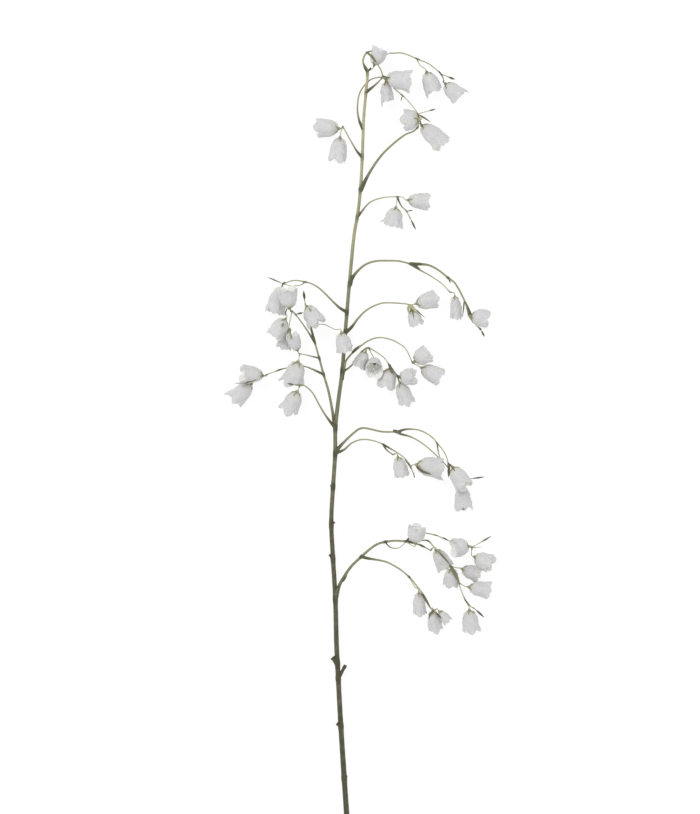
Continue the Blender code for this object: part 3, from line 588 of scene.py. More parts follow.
SUNK = 0.5  # how far a rod reaches past the ends of its route, into what it grows from
NODE_REACH = 2.6 * MM  # how far the swelling of a fork reaches
NODE_SWELL = 0.45  # how much thicker a stalk is at a fork
KNOT_REACH = 4.5 * MM  # how far the swelling of the bark reaches from a knuckle or a spray
SHEATH_SWELL = 1.7  # how much thicker a stalk is where it is rooted
BARK_RIPPLE = 0.035  # how much the stem's thickness varies at random
STALK_RIPPLE = 0.05
BARK_RIPPLES = 160  # about how many such changes of thickness there are in a metre
STALK_RIPPLES = 900

# A tone is 0 for the pale colour of a finish and 1 for its dark one.
THICK_TONE = 0.2  # how much darker a stalk is for each millimetre of its thickness
SHEATH_TONE = 0.75  # how much darker it is at its sheath
FORK_TONE = 0.5  # how much darker it is at a fork
KNOT_TONE = 0.45  # how much darker the bark is at a knuckle or a spray
THREAD_TONES = (0.1, 0.6)  # a thread, and how much darker it is at a fork
CUP_TONES = (0.35, 0.25)  # the foot of a cup, and how much darker its rim is
BUD_TONES = (0.15, 0.8)  # the neck of a bud, and how much darker the bud is
BRACT_TONE = 0.95
SEPAL_TONES = (0.4, 0.55)  # the foot and the tip of a sepal
CUT_TONE = 0.1  # the cut face of the stem
STUB_CUT_TONE = 0.2
# How dark the bark is along the stem: share of its length, tone.
BARK_TONES = [
    (0.0, 1.0), (0.36, 0.9), (0.44, 0.68), (0.58, 0.66), (0.68, 0.32), (0.82, 0.1), (1.0, 0.02),
]

CUT_EDGE = 0.25 * MM  # how far the worn edge of the cut face reaches up the stem
CUT_SHARE = 0.9  # how wide the cut face is inside that edge, as a share of the stem
STUB_SHAPE = [(0.0, 1.25), (0.45, 1.0), (0.72, 0.86), (0.8, 1.06), (1.0, 0.96), (1.03, 0.5)]
BUD_SHAPE = [
    (0.0, 0.0), (0.08, 0.42), (0.22, 0.74), (0.42, 1.0), (0.62, 0.92), (0.8, 0.55), (0.93, 0.24),
    (1.0, 0.06),
]
BUD_TIP = 0.12 * MM  # least half thickness of a bud towards its tip
# The cup behind a bell: depth in millimetres, share of its radius.
CUP_SHAPE = [(4.0, 0.26), (3.3, 0.42), (2.4, 0.8), (1.5, 1.02), (0.6, 1.06), (0.0, 0.9)]
# Depths in millimetres where a thread turns into line with its bell and where it ends.
THREAD_ENDS = (5.2, 3.2)

BLADE_FOLD = 0.35  # how far a blade's edges stand out from its keel, as a share of their reach
BLADE_POINT = 0.05  # width of a blade's very tip, as a share of its greatest width
BLADE_GRAIN = 6  # how many widths long a blade is taken to be for its grain
SCALE_THICKNESS = 0.35 * MM
BRACT_ROWS = 6
BRACT_LENGTH = 3.2  # length of the bract at a stalk's root, in thicknesses of the stalk
BRACT_BACK = 0.8 * MM  # how far back from its place it starts
BRACT_LIFT = (0.28, 0.9)  # in its widths: how far its foot stands off, how much more its tip
BRACT_THICKNESS = 0.28 * MM
BRACT_FADE = 0.15  # how much paler its tip is
THREAD_BRACT = (3.6 * MM, 1.1 * MM, 0.9)  # length, width and tone of the bract at its root
SEPAL_ROWS = 7
SEPAL_REACH = 0.15  # how far a sepal reaches along the bell
SEPAL_GAP = 0.45 * MM  # how far it stands off the bell
SEPAL_ROOT = 0.12  # how far out in the cup it is rooted, as a share of the bell's half width
SEPAL_DEPTH = 1.6 * MM  # how far behind the bell it is rooted
SEPAL_SETBACK = 0.3 * MM  # how far the rest of it is set back
SEPAL_FOLD = Vector((0.5, 0, -0.85))  # which way its edges fold: out from the bell and back
SEPAL_THICKNESS = 0.3 * MM

# A bell, as shares of its length along the axis and of its half width out from the axis.
SEEN_LOBES = (0, 1, 4)  # the lobes on top and at the right and left hand of a bell's way
COLUMNS = 60
RINGS = 20
RING_CROWDING = 1.25  # above 1, the rings are closer at the crown
CROWN_SHAPE = [
    (0.0, 0.04), (0.01, 0.17), (0.045, 0.37), (0.10, 0.55), (0.18, 0.73), (0.30, 0.88),
    (0.48, 0.955), (0.66, 0.97),
]
SHOULDER = 0.85  # how far along the bell the lobes start to turn out
NOTCH = 0.8  # how far along the bell the notches between the lobes are
LOBE_POINT = 0.05  # how far the sides of a lobe fall straight off from its tip
SEAM_DEPTH = 0.055  # how deep the grooves between the lobes are, as a share of the radius
# Ranges that are drawn from for each lobe or each bell.
LOBE_STRETCH = (-0.05, 0.04)  # how much longer a lobe is
LOBE_SPREAD = (-0.10, 0.14)  # how much farther out it stands
SQUASH = (0.01, 0.05)  # how far a bell is from round
JITTER = (-0.2, 0.2)  # how far a sepal or an anther is turned from midway, in radians
STYLE_LEAN = (-0.05, 0.05)
WAVE_TURN = 4.2  # how far the wave of a lobe's edge turns from its middle to a side, in radians
# The last value of each point is half a thickness, in millimetres.
# The style: how far along the bell, how much of its lean.
STYLE_CURVE = [(0.02, 0.0, 0.5), (0.4, 0.3, 0.42), (0.7, 1.0, 0.7)]
# An arm of the stigma: millimetres out and up from the style's top.
STIGMA_CURVE = [(0.0, -0.6, 0.5), (0.7, 1.0, 0.42), (1.9, 1.1, 0.36), (2.3, 0.0, 0.2)]
STIGMA_ARMS = 3
# An anther: millimetres out, how far along the bell.
ANTHER_CURVE = [(0.9, 0.03, 0.3), (1.5, 0.16, 0.34), (1.3, 0.36, 0.4)]

SHARP_ANGLE = math.radians(55)
SURFACE_GAP = 0.05 * MM  # how far every piece but the stem stays off the surface


def place(point):
    """A point of the plan, in metres from the middle of it."""
    across, up, above = point
    return Vector((across - MIDDLE[0], up - MIDDLE[1], above)) * MM


def directions(points):
    """Which way a route runs at each of its points."""
    before = [points[0], *points[:-1]]
    after = [*points[1:], points[-1]]
    return [(end - start).normalized() for start, end in zip(before, after)]


def smooth_route(points, widths, step):
    """A smooth route through the points, with the widths carried along it."""
    tangents = directions(points)
    route, carried = [points[0]], [widths[0]]
    for i in range(len(points) - 1):
        reach = (points[i + 1] - points[i]).length
        parts = max(2, round(reach / step))
        curve = geometry.interpolate_bezier(
            points[i],
            points[i] + tangents[i] * reach / 3,
            points[i + 1] - tangents[i + 1] * reach / 3,
            points[i + 1],
            parts + 1,
        )
        route += curve[1:]
        rise = (widths[i + 1] - widths[i]) / parts
        carried += [widths[i] + rise * part for part in range(1, parts + 1)]
    return route, carried


def lengths_along(route):
    """How far along the route each of its points is."""
    along = [0.0]
    for before, after in zip(route, route[1:]):
        along.append(along[-1] + (after - before).length)
    return along


def section_frames(points, side):
    """A turned frame for each point of a route, with as little twist as can be."""
    tangents = directions(points)
    along = tangents[0]
    side = (side - along * side.dot(along)).normalized()
    frames = []
    for point, tangent in zip(points, tangents):
        side = along.rotation_difference(tangent) @ side
        side = (side - tangent * side.dot(tangent)).normalized()
        turned = Matrix((side.cross(tangent), side, tangent)).transposed().to_4x4()
        frames.append(Matrix.Translation(point) @ turned)
        along = tangent
    return frames


def blend(stops, share):
    """The value at a share along stops that are pairs of a share and a value."""
    for (low, before), (high, after) in zip(stops, stops[1:]):
        if share <= high:
            return before + (after - before) * (share - low) / (high - low)
    return stops[-1][1]


def ramp(value, low, high):
    """0 below low, 1 above high, and smooth between them."""
    share = min(max((value - low) / (high - low), 0.0), 1.0)
    return share * share * (3 - 2 * share)


def nearness(point, places, reach=NODE_REACH):
    """1 at the nearest of the places, falling to 0 away from it."""
    nearest = min((point - spot).length for spot in places)
    return math.exp(-((nearest / reach) ** 2))


def new_piece():
    """An empty mesh with the fields that the finishes read."""
    bm = bmesh.new()
    bm.verts.layers.float_vector.new("grain")
    bm.verts.layers.float.new("tone")
    return bm


def first_ring(bm, sides):
    """A closed circle that a tube grows from. It returns its vertices and its edges."""
    grain = bm.verts.layers.float_vector["grain"]
    ring = bmesh.ops.create_circle(bm, cap_ends=True, segments=sides, radius=1)["verts"]
    for vertex in ring:
        vertex[grain] = vertex.co
    return ring, list(ring[0].link_faces[0].edges)


def next_row(bm, edges):
    """Grows a row of edges. It returns the new vertices, edges and faces."""
    grown = bmesh.ops.extrude_edge_only(bm, edges=edges)["geom"]
    kinds = (bmesh.types.BMVert, bmesh.types.BMEdge, bmesh.types.BMFace)
    return [[item for item in grown if isinstance(item, kind)] for kind in kinds]


def grow_tube(bm, points, radii, tones, sides=STALK_SIDES, ribs=(0, 0.0), side=UP):
    """A closed tube along a route. Ribs are how many there are, and how far they stand out."""
    grain = bm.verts.layers.float_vector["grain"]
    tone = bm.verts.layers.float["tone"]
    ring, edges = first_ring(bm, sides)
    rows = zip(section_frames(points, side), radii, tones, lengths_along(points))
    for step, (turned, radius, shade, along) in enumerate(rows):
        if step:
            ring, edges = next_row(bm, edges)[:2]
        for vertex in ring:
            across, up = vertex[grain].xy
            rib = 1 + ribs[1] * math.cos(ribs[0] * math.atan2(up, across))
            vertex.co = turned @ (Vector((across, up, 0)) * radius * rib)
            vertex[grain] = (across, up, along)
            vertex[tone] = shade
    bmesh.ops.contextual_create(bm, geom=edges)


def grow_blade(bm, spine, across, out, width, thickness, tones):
    """A narrow pointed blade along a spine, fullest past a third of it, folded at its keel."""
    grain = bm.verts.layers.float_vector["grain"]
    tone = bm.verts.layers.float["tone"]
    row = [bm.verts.new(spine[0]) for corner in range(3)]
    for vertex, offset in zip(row, (-1, 0, 1)):
        vertex[grain] = (offset, 0, 0)
    edges = [bm.edges.new(row[:2]), bm.edges.new(row[1:])]
    blade = []
    for step, centre in enumerate(spine):
        if step:
            row, edges, faces = next_row(bm, edges)
            blade += faces
        share = step / (len(spine) - 1)
        fullness = math.sin(math.pi * (0.2 + 0.8 * share)) ** 0.8
        reach = width / 2 * max(fullness, BLADE_POINT)
        for vertex in row:
            offset = vertex[grain][0]
            fold = out * abs(offset) * reach * BLADE_FOLD
            vertex.co = centre + across * offset * reach + fold
            vertex[grain] = (offset, 0, share * width * BLADE_GRAIN)
            vertex[tone] = tones[0] + (tones[1] - tones[0]) * share
    bmesh.ops.solidify(bm, geom=blade, thickness=thickness)


def fork_places(spray):
    """Where the stalks of a spray fork and where its threads start."""
    starts = [stalk.points[0] for stalk in spray.stalks]
    starts += [bell.way[0] for bell in spray.bells.values()]
    starts += [bud.start for bud in spray.buds]
    return [place(start) for start in starts]


def sunk(before, end):
    """The end of a route, moved on past itself, so that what meets there overlaps."""
    return end + (end - before).normalized() * SUNK * MM


def rooted_route(points, widths, step):
    """A smooth route whose two ends are sunk in what they meet."""
    points = [sunk(points[1], points[0]), *points[1:-1], sunk(points[-2], points[-1])]
    return smooth_route(points, widths, step)


def grow_bract(bm, start, onward, length, width, tone, turn):
    """A small scale that hugs the root of a stalk or a thread."""
    along = onward.normalized()
    across = along.cross(UP if abs(along.z) < 0.9 else Vector((1, 0, 0))).normalized()
    across.rotate(Matrix.Rotation(turn, 3, along))
    out = across.cross(along)
    spine = []
    for row in range(BRACT_ROWS):
        share = row / (BRACT_ROWS - 1)
        lift = BRACT_LIFT[0] + BRACT_LIFT[1] * share * share
        spine.append(start + along * (share * length - BRACT_BACK) + out * (lift * width))
    grow_blade(bm, spine, across, out, width, BRACT_THICKNESS, (tone, tone - BRACT_FADE))


def grow_scale(bm, scale):
    """A long dark scale that lies along a stalk or along the crown of a bell."""
    points = [place(point) for point in scale.points]
    spine = smooth_route(points, [scale.width] * len(points), SCALE_STEP)[0]
    across = UP.cross(points[-1] - points[0]).normalized()
    tones = (scale.tone, 0.8 * scale.tone)
    grow_blade(bm, spine, across, -UP, scale.width * MM, SCALE_THICKNESS, tones)


def grow_stalk(bm, stalk, forks, looks, rng):
    """A side stalk, thick and dark at its sheath and at its forks."""
    points = [place(point) for point in stalk.points]
    last = len(points) - 1
    thick, thin = stalk.root * MM / 2, stalk.end * MM / 2
    radii = [looks.fullness * (thick + (thin - thick) * i / last) for i in range(last + 1)]
    route, radii = rooted_route(points, radii, STALK_STEP)
    tones = []
    for i, along in enumerate(lengths_along(route)):
        sheath = stalk.sheath * math.exp(-((along / looks.sheath_length) ** 2))
        fork = nearness(route[i], forks)
        base = THICK_TONE * 2 * radii[i] / MM
        radii[i] *= 1 + (SHEATH_SWELL - 1) * sheath + NODE_SWELL * fork * (1 - sheath)
        radii[i] *= 1 + STALK_RIPPLE * noise.noise(route[i] * STALK_RIPPLES)
        tones.append(min(base + SHEATH_TONE * sheath + FORK_TONE * fork, 1.0))
    grow_tube(bm, route, radii, tones, ribs=STALK_RIBS)
    onward = route[4] - route[1]
    length = stalk.root * BRACT_LENGTH * MM
    width = stalk.root * MM
    grow_bract(bm, route[2], onward, length, width, BRACT_TONE, rng.uniform(-0.6, 0.6))


def grow_thread(bm, bell, forks, looks, rng):
    """The thread of a bell, with its ribbed cup and five narrow sepals."""
    turned, length = bell_frame(bell)
    half_width = bell.width * MM / 2
    ways = [place(point) for point in bell.way]
    ways += [turned @ Vector((0, 0, -depth * MM)) for depth in THREAD_ENDS]
    thin = looks.thread_thickness / 2
    route, radii = rooted_route(ways, [thin] * len(ways), STALK_STEP)
    tones = []
    for i, point in enumerate(route):
        fork = nearness(point, forks)
        radii[i] *= 1 + NODE_SWELL * fork
        tones.append(THREAD_TONES[0] + THREAD_TONES[1] * fork)
    grow_tube(bm, route, radii, tones)
    grow_bract(bm, route[1], route[3] - route[1], *THREAD_BRACT, rng.uniform(-1.5, 1.5))

    cup_radius = half_width * CROWN_SHAPE[1][1]
    rings = [turned @ Vector((0, 0, -depth * MM)) for depth, share in CUP_SHAPE]
    widths = [cup_radius * share for depth, share in CUP_SHAPE]
    route, radii = smooth_route(rings, widths, CUP_STEP)
    shades = [CUP_TONES[0] + CUP_TONES[1] * i / len(route) for i in range(len(route))]
    grow_tube(bm, route, radii, shades, CUP_SIDES, CUP_RIBS, turned.to_3x3().col[1])
    for sepal in range(LOBES):
        spin = turned @ Matrix.Rotation(between_lobes(sepal, rng), 4, "Z")
        grow_sepal(bm, spin, bell.flare, length, half_width, looks, rng)


def between_lobes(number, rng):
    """The angle of a sepal or an anther, about midway between two lobes."""
    return 2 * math.pi * (number + 0.5) / LOBES + rng.uniform(*JITTER)


def grow_sepal(bm, spin, flare, length, half_width, looks, rng):
    """One sepal: it springs from the cup's rim and hugs the crown of the bell."""
    reach = SEPAL_REACH * rng.uniform(0.75, 1.2)
    lift = rng.uniform(0.0, 0.7) * MM
    spine = [Vector((half_width * SEPAL_ROOT, 0, -SEPAL_DEPTH))]
    for row in range(SEPAL_ROWS):
        share = row / (SEPAL_ROWS - 1)
        height = reach * share
        radius = crown_radius(height, flare) * half_width + SEPAL_GAP + lift * share ** 2
        spine.append(Vector((radius, 0, height * length - SEPAL_SETBACK)))
    spine = [spin @ point for point in spine]
    across = spin.to_3x3() @ Vector((0, 1, 0))
    out = spin.to_3x3() @ SEPAL_FOLD
    grow_blade(bm, spine, across, out, looks.sepal_width, SEPAL_THICKNESS, SEPAL_TONES)


def grow_bud(bm, bud, looks):
    """A bud or a bract at the end of its own thread, ribbed and pointed."""
    start = place(bud.start)
    along = place(bud.end) - start
    thin = looks.thread_thickness / 2
    rings = [start + along * bud.neck / 2]
    rings = [sunk(rings[0], start), *rings]
    rings += [start + along * (bud.neck + (1 - bud.neck) * share) for share, width in BUD_SHAPE]
    widths = [thin, thin, thin]
    for share, width in BUD_SHAPE[1:]:
        widths.append(max(width * bud.thickness * MM / 2, thin if share < 0.3 else BUD_TIP))
    route, radii = smooth_route(rings, widths, BUD_STEP)
    reach = along.length
    shares = [(point - start).length / reach for point in route]
    swells = [ramp(share, bud.neck - 0.08, bud.neck + 0.12) for share in shares]
    tones = [BUD_TONES[0] + BUD_TONES[1] * swell for swell in swells]
    grow_tube(bm, route, radii, tones, ribs=BUD_RIBS)


def grow_spray(bm, spray, looks, rng):
    """The stalks of a spray, with the threads of its bells, their cups, the buds and scales."""
    forks = fork_places(spray)
    for stalk in spray.stalks:
        grow_stalk(bm, stalk, forks, looks, rng)
    for bell in spray.bells.values():
        grow_thread(bm, bell, forks, looks, rng)
    for bud in spray.buds:
        grow_bud(bm, bud, looks)
    for scale in spray.scales:
        grow_scale(bm, scale)
    bmesh.ops.recalc_face_normals(bm, faces=bm.faces)


def stem_rows(stem):
    """The stem's smooth centre line, with its radius and tone at each ring."""
    foot_height = stem.foot_thickness / 2
    points, widths, tones = [], [], []
    for across, up in STEM_ROUTE:
        share = min(up / TOP_FORK, 1.0)
        height = foot_height + (stem.fork_height - foot_height) * share
        points.append(place((across, up, height / MM)))
        widths.append(stem.foot_thickness + (stem.top_thickness - stem.foot_thickness) * share)
    thinner = stem.arch_end_thickness - stem.arch_thickness
    for step, point in enumerate(ARCH_ROUTE, 1):
        points.append(place(point))
        widths.append(stem.arch_thickness + thinner * step / len(ARCH_ROUTE))
    route, radii = smooth_route(points, [width / 2 for width in widths], STEM_STEP)
    knots = [place(spray.stalks[0].points[0]) for spray in SPRAYS.values()]
    knots += [place(root) for root, end, thickness in KNUCKLES]
    lengths = lengths_along(route)
    for i, point in enumerate(route):
        knot = nearness(point, knots, KNOT_REACH)
        radii[i] *= 1 + stem.swelling * knot + BARK_RIPPLE * noise.noise(point * BARK_RIPPLES)
        share = lengths[i] / lengths[-1]
        tones.append(min(blend(BARK_TONES, share) + KNOT_TONE * knot, 1.0))
    inward = (route[1] - route[0]).normalized()
    route.insert(1, route[0] + inward * CUT_EDGE)
    radii.insert(0, radii[0] * CUT_SHARE)
    tones.insert(0, CUT_TONE)
    return route, radii, tones


def grow_stub(bm, root, end, radius):
    """What is left of a spray that was cut away: a short stub with a ring and a pale cut."""
    along = end - root
    rings = [root + along * share for share, width in STUB_SHAPE]
    radii = [radius * width for share, width in STUB_SHAPE]
    tones = [1.0] * (len(rings) - 1) + [STUB_CUT_TONE]
    grow_tube(bm, rings, radii, tones, ribs=STUB_RIBS)


def bell_frame(bell):
    """The matrix that sets a bell on its calyx, and the bell's length in metres."""
    base = place(bell.base)
    axis = place(bell.mouth) - base
    turned = axis.to_track_quat("Z", "Y").to_matrix().to_4x4()
    turn = Matrix.Rotation(math.radians(bell.turn), 4, "Z")
    return Matrix.Translation(base) @ turned @ turn, axis.length


def crown_radius(height, flare):
    """Half width of the wall at a height, both as shares."""
    lobes = [(SHOULDER, 0.5 + flare / 2), (1.0, flare), (1.2, flare * 1.04)]
    return blend(CROWN_SHAPE + lobes, height)


def seen_lobes(values, rest):
    """The rest, a value for each lobe, with the given values put in for the lobes that show."""
    for lobe, value in zip(SEEN_LOBES, values):
        rest[lobe] = value
    return rest


def grow_wall(bm, bell, length, half_width, looks, rng):
    """The petal tube of a bell, with five pointed lobes, each a little different."""
    grain = bm.verts.layers.float_vector["grain"]
    reach_field = bm.verts.layers.float["reach"]
    midrib_field = bm.verts.layers.float["from_midrib"]
    stretches = seen_lobes(bell.tips, [rng.uniform(*LOBE_STRETCH) for lobe in range(LOBES)])
    bends = seen_lobes(bell.bends, [0.0] * LOBES)
    spreads = [rng.uniform(*LOBE_SPREAD) for lobe in range(LOBES)]
    phases = [rng.uniform(0, 2 * math.pi) for lobe in range(LOBES)]
    squash = rng.uniform(*SQUASH)
    squash_way = rng.uniform(0, math.pi)
    seed = Vector([rng.uniform(0, 50) for axis in range(3)])
    ring, edges = first_ring(bm, COLUMNS)
    for step in range(RINGS + 1):
        if step:
            ring, edges = next_row(bm, edges)[:2]
        rise = (step / RINGS) ** RING_CROWDING
        for vertex in ring:
            across, up = vertex[grain].xy
            angle = math.atan2(-across, up) % (2 * math.pi)
            lobe = round(angle * LOBES / (2 * math.pi)) % LOBES
            offset = (angle * LOBES / (2 * math.pi) + 0.5) % 1.0 * 2 - 1
            edge = abs(offset)
            bend = bends[lobe] * (1 - edge ** 2)
            rim = 1 - LOBE_POINT * edge - (1 - NOTCH - LOBE_POINT) * edge ** 3
            rim += stretches[lobe] * (1 - edge) - 0.5 * bend
            height = rise * rim
            open_part = ramp(height, 0.5, 1.0)
            radius = crown_radius(height, bell.flare)
            radius *= 1 + (spreads[lobe] * (1 - edge) + bend) * open_part
            radius *= 1 - SEAM_DEPTH * edge ** 2 * ramp(height, 0.05, 0.4) * (1 - open_part)
            radius *= 1 + squash * math.cos(2 * (angle - squash_way)) * ramp(height, 0.0, 0.6)
            radius *= half_width
            wave = math.sin(phases[lobe] + WAVE_TURN * offset) * looks.lobe_wave * edge ** 1.5
            radius += wave * ramp(height, 0.45, 0.95)
            spot = Vector((across * height * 3, up * height * 3, height * 3)) + seed
            radius += noise.noise(spot) * looks.crumple * ramp(height, 0.08, 0.5)
            droop = noise.noise(spot + Vector((0, 0, 9))) * looks.crumple * open_part
            vertex.co = (across * radius, up * radius, height * length + droop)
            vertex[reach_field] = height
            vertex[midrib_field] = edge
    bmesh.ops.recalc_face_normals(bm, faces=bm.faces)
    bmesh.ops.solidify(bm, geom=list(bm.faces), thickness=looks.petal_thickness)
    bmesh.ops.recalc_face_normals(bm, faces=bm.faces)
    bm.normal_update()
    # Marks the inner faces, which the petal finish paints paler as painted light.
    inner = bm.verts.layers.float["inner"]
    for vertex in bm.verts:
        from_axis = Vector((vertex.co.x, vertex.co.y, 0))
        vertex[inner] = 1.0 if vertex.normal.dot(from_axis) < 0 else 0.0


def half_widths(curve):
    """The half thickness at each point of a curve, in metres."""
    return [point[-1] * MM for point in curve]


def grow_style(bm, length, rng):
    """The style with its three-armed stigma, and five short anthers round its foot."""
    lean = Vector((rng.uniform(*STYLE_LEAN), rng.uniform(*STYLE_LEAN), 0)) * length
    points = [Vector((0, 0, up * length)) + lean * share for up, share, radius in STYLE_CURVE]
    route, radii = smooth_route(points, half_widths(STYLE_CURVE), STYLE_STEP)
    grow_tube(bm, route, radii, [0.2] * len(route))
    top = route[-1]
    for arm in range(STIGMA_ARMS):
        angle = 2 * math.pi * arm / STIGMA_ARMS
        out = Vector((math.cos(angle), math.sin(angle), 0))
        curl = [top + out * across * MM + UP * up * MM for across, up, radius in STIGMA_CURVE]
        route, radii = smooth_route(curl, half_widths(STIGMA_CURVE), STIGMA_STEP)
        grow_tube(bm, route, radii, [0.1] * len(route))
    for anther in range(LOBES):
        angle = between_lobes(anther, rng)
        out = Vector((math.cos(angle), math.sin(angle), 0))
        points = [out * across * MM + UP * up * length for across, up, radius in ANTHER_CURVE]
        route, radii = smooth_route(points, half_widths(ANTHER_CURVE), ANTHER_STEP)
        tones = [ramp(i / (len(route) - 1), 0.3, 0.5) for i in range(len(route))]
        radii = [radius * (1 + 0.5 * shade) for radius, shade in zip(radii, tones)]
        grow_tube(bm, route, radii, tones)


def feed(tree, socket, value):
    """Links a source to a socket, or writes a plain value into it."""
    if isinstance(value, bpy.types.NodeSocket):
        tree.links.new(value, socket)
    else:
        socket.default_value = value


def feed_all(tree, node, values):
    """Feeds the named inputs of a node with sources or plain values."""
    for name, value in values.items():
        feed(tree, node.inputs[name], value)


def add_node(tree, kind, values=None, **settings):
    """A shader node with its settings and with what its inputs are fed."""
    node = tree.nodes.new(kind)
    for name, value in settings.items():
        setattr(node, name, value)
    feed_all(tree, node, values or {})
    return node


def read_field(tree, name, output="Fac"):
    """A field of the mesh, such as its tone."""
    return add_node(tree, "ShaderNodeAttribute", attribute_name=name).outputs[output]


def object_place(tree):
    """The place on the piece."""
    return add_node(tree, "ShaderNodeTexCoord").outputs["Object"]


def add_ramp(tree, source, stops):
    """A colour ramp on a source. Stops are pairs of a place and a colour or a grey."""
    ramp_node = add_node(tree, "ShaderNodeValToRGB", {"Fac": source})
    elements = ramp_node.color_ramp.elements
    while len(elements) < len(stops):
        elements.new(0.5)
    for element, (spot, colour) in zip(elements, stops):
        element.position = spot
        element.color = (colour, colour, colour, 1) if isinstance(colour, float) else (*colour, 1)
    return ramp_node.outputs["Color"]


def mix_colours(tree, share, first, second, blend_type="MIX"):
    """Mixes two colours. The share is a source or a number, the colours are sources or plain."""
    mix = add_node(tree, "ShaderNodeMix", {0: share}, data_type="RGBA", blend_type=blend_type)
    for number, colour in ((6, first), (7, second)):
        is_source = isinstance(colour, bpy.types.NodeSocket)
        feed(tree, mix.inputs[number], colour if is_source else (*colour, 1))
    return mix.outputs[2]


def do_math(tree, operation, first, second=0.5, third=0.5, clamp=False):
    """A math node on sources or plain numbers."""
    values = {0: first, 1: second, 2: third}
    node = add_node(tree, "ShaderNodeMath", values, operation=operation, use_clamp=clamp)
    return node.outputs[0]


def plant_tissue_group():
    """The fibres, pores and mottling that every finish of the plant shares."""
    name = "Plant tissue"
    if name in bpy.data.node_groups:
        return bpy.data.node_groups[name]
    tree = bpy.data.node_groups.new(name, "ShaderNodeTree")
    sockets = tree.interface
    for source in ("Grain", "Place"):
        sockets.new_socket(source, in_out="INPUT", socket_type="NodeSocketVector")
    for source, default in (("Fibre scale", 3.0), ("Mottle scale", 120.0)):
        socket = sockets.new_socket(source, in_out="INPUT", socket_type="NodeSocketFloat")
        socket.default_value = default
    for output in ("Fibre", "Mottle", "Pores", "Relief"):
        sockets.new_socket(output, in_out="OUTPUT", socket_type="NodeSocketFloat")
    inside = tree.nodes.new("NodeGroupInput").outputs

    values = {0: inside["Grain"], 1: (1, 1, 16)}
    stretched = add_node(tree, "ShaderNodeVectorMath", values, operation="MULTIPLY").outputs[0]
    values = {"Vector": stretched, "Scale": inside["Fibre scale"], "Detail": 5.0, "Roughness": 0.6}
    fibres = add_node(tree, "ShaderNodeTexNoise", values).outputs["Fac"]
    values = {"Vector": inside["Place"], "Scale": inside["Mottle scale"]}
    values.update({"Detail": 6.0, "Roughness": 0.62})
    mottle = add_node(tree, "ShaderNodeTexNoise", values).outputs["Fac"]
    values = {"Vector": inside["Place"], "Scale": 900.0}
    pores = add_node(tree, "ShaderNodeTexVoronoi", values, feature="F1").outputs["Distance"]
    pore_mask = add_ramp(tree, pores, [(0.0, 1.0), (0.28, 0.0)])
    relief = do_math(tree, "MULTIPLY_ADD", pore_mask, -0.4, fibres)
    relief = do_math(tree, "MULTIPLY_ADD", mottle, 0.5, relief)
    values = {"Fibre": fibres, "Mottle": mottle, "Pores": pore_mask, "Relief": relief}
    feed_all(tree, tree.nodes.new("NodeGroupOutput"), values)
    return tree


def plain_finish(name):
    """A new material. It returns the material, its tree and its shader."""
    finish = bpy.data.materials.new(name)
    finish.use_nodes = True
    return finish, finish.node_tree, finish.node_tree.nodes["Principled BSDF"]


def plant_finish(name, fibre_scale, mottle_scale):
    """A material with the shared plant tissue. It also returns its tree, shader and tissue."""
    finish, tree, shader = plain_finish(name)
    shader.inputs["Metallic"].default_value = 0.0
    values = {"Fibre scale": fibre_scale, "Mottle scale": mottle_scale}
    values.update({"Grain": read_field(tree, "grain", "Vector"), "Place": object_place(tree)})
    tissue = add_node(tree, "ShaderNodeGroup", values, node_tree=plant_tissue_group())
    return finish, tree, shader, tissue.outputs


def add_bump(tree, shader, height, distance, strength):
    """Raises the surface of a shader by a height."""
    values = {"Height": height, "Distance": distance, "Strength": strength}
    feed(tree, shader.inputs["Normal"], add_node(tree, "ShaderNodeBump", values).outputs["Normal"])


def green_finish(name, pale, dark, looks, fibre_scale, relief):
    """Bark and stalks: pale green that turns to dark olive-brown with the tone of each place."""
    finish, tree, shader, tissue = plant_finish(name, fibre_scale, looks.mottle_scale)
    loosened = do_math(tree, "SUBTRACT", tissue["Mottle"], 0.5)
    tone = do_math(tree, "MULTIPLY_ADD", loosened, 0.55, read_field(tree, "tone"), clamp=True)
    middle = [(a + b) / 2 * 0.96 for a, b in zip(pale, dark)]
    colour = add_ramp(tree, tone, [(0.0, tuple(pale)), (0.5, tuple(middle)), (1.0, tuple(dark))])
    streak = add_ramp(tree, tissue["Fibre"], [(0.35, 0.72), (0.65, 1.12)])
    colour = mix_colours(tree, 0.75, colour, streak, "MULTIPLY")
    pore_share = do_math(tree, "MULTIPLY", tissue["Pores"], 0.22)
    feed_all(tree, shader, {
        "Base Color": mix_colours(tree, pore_share, colour, looks.pore_colour),
        "Roughness": do_math(tree, "MULTIPLY_ADD", tissue["Mottle"], 0.25, 0.45),
        "Specular IOR Level": 0.35,
    })
    add_bump(tree, shader, tissue["Relief"], relief, 0.6)
    return finish


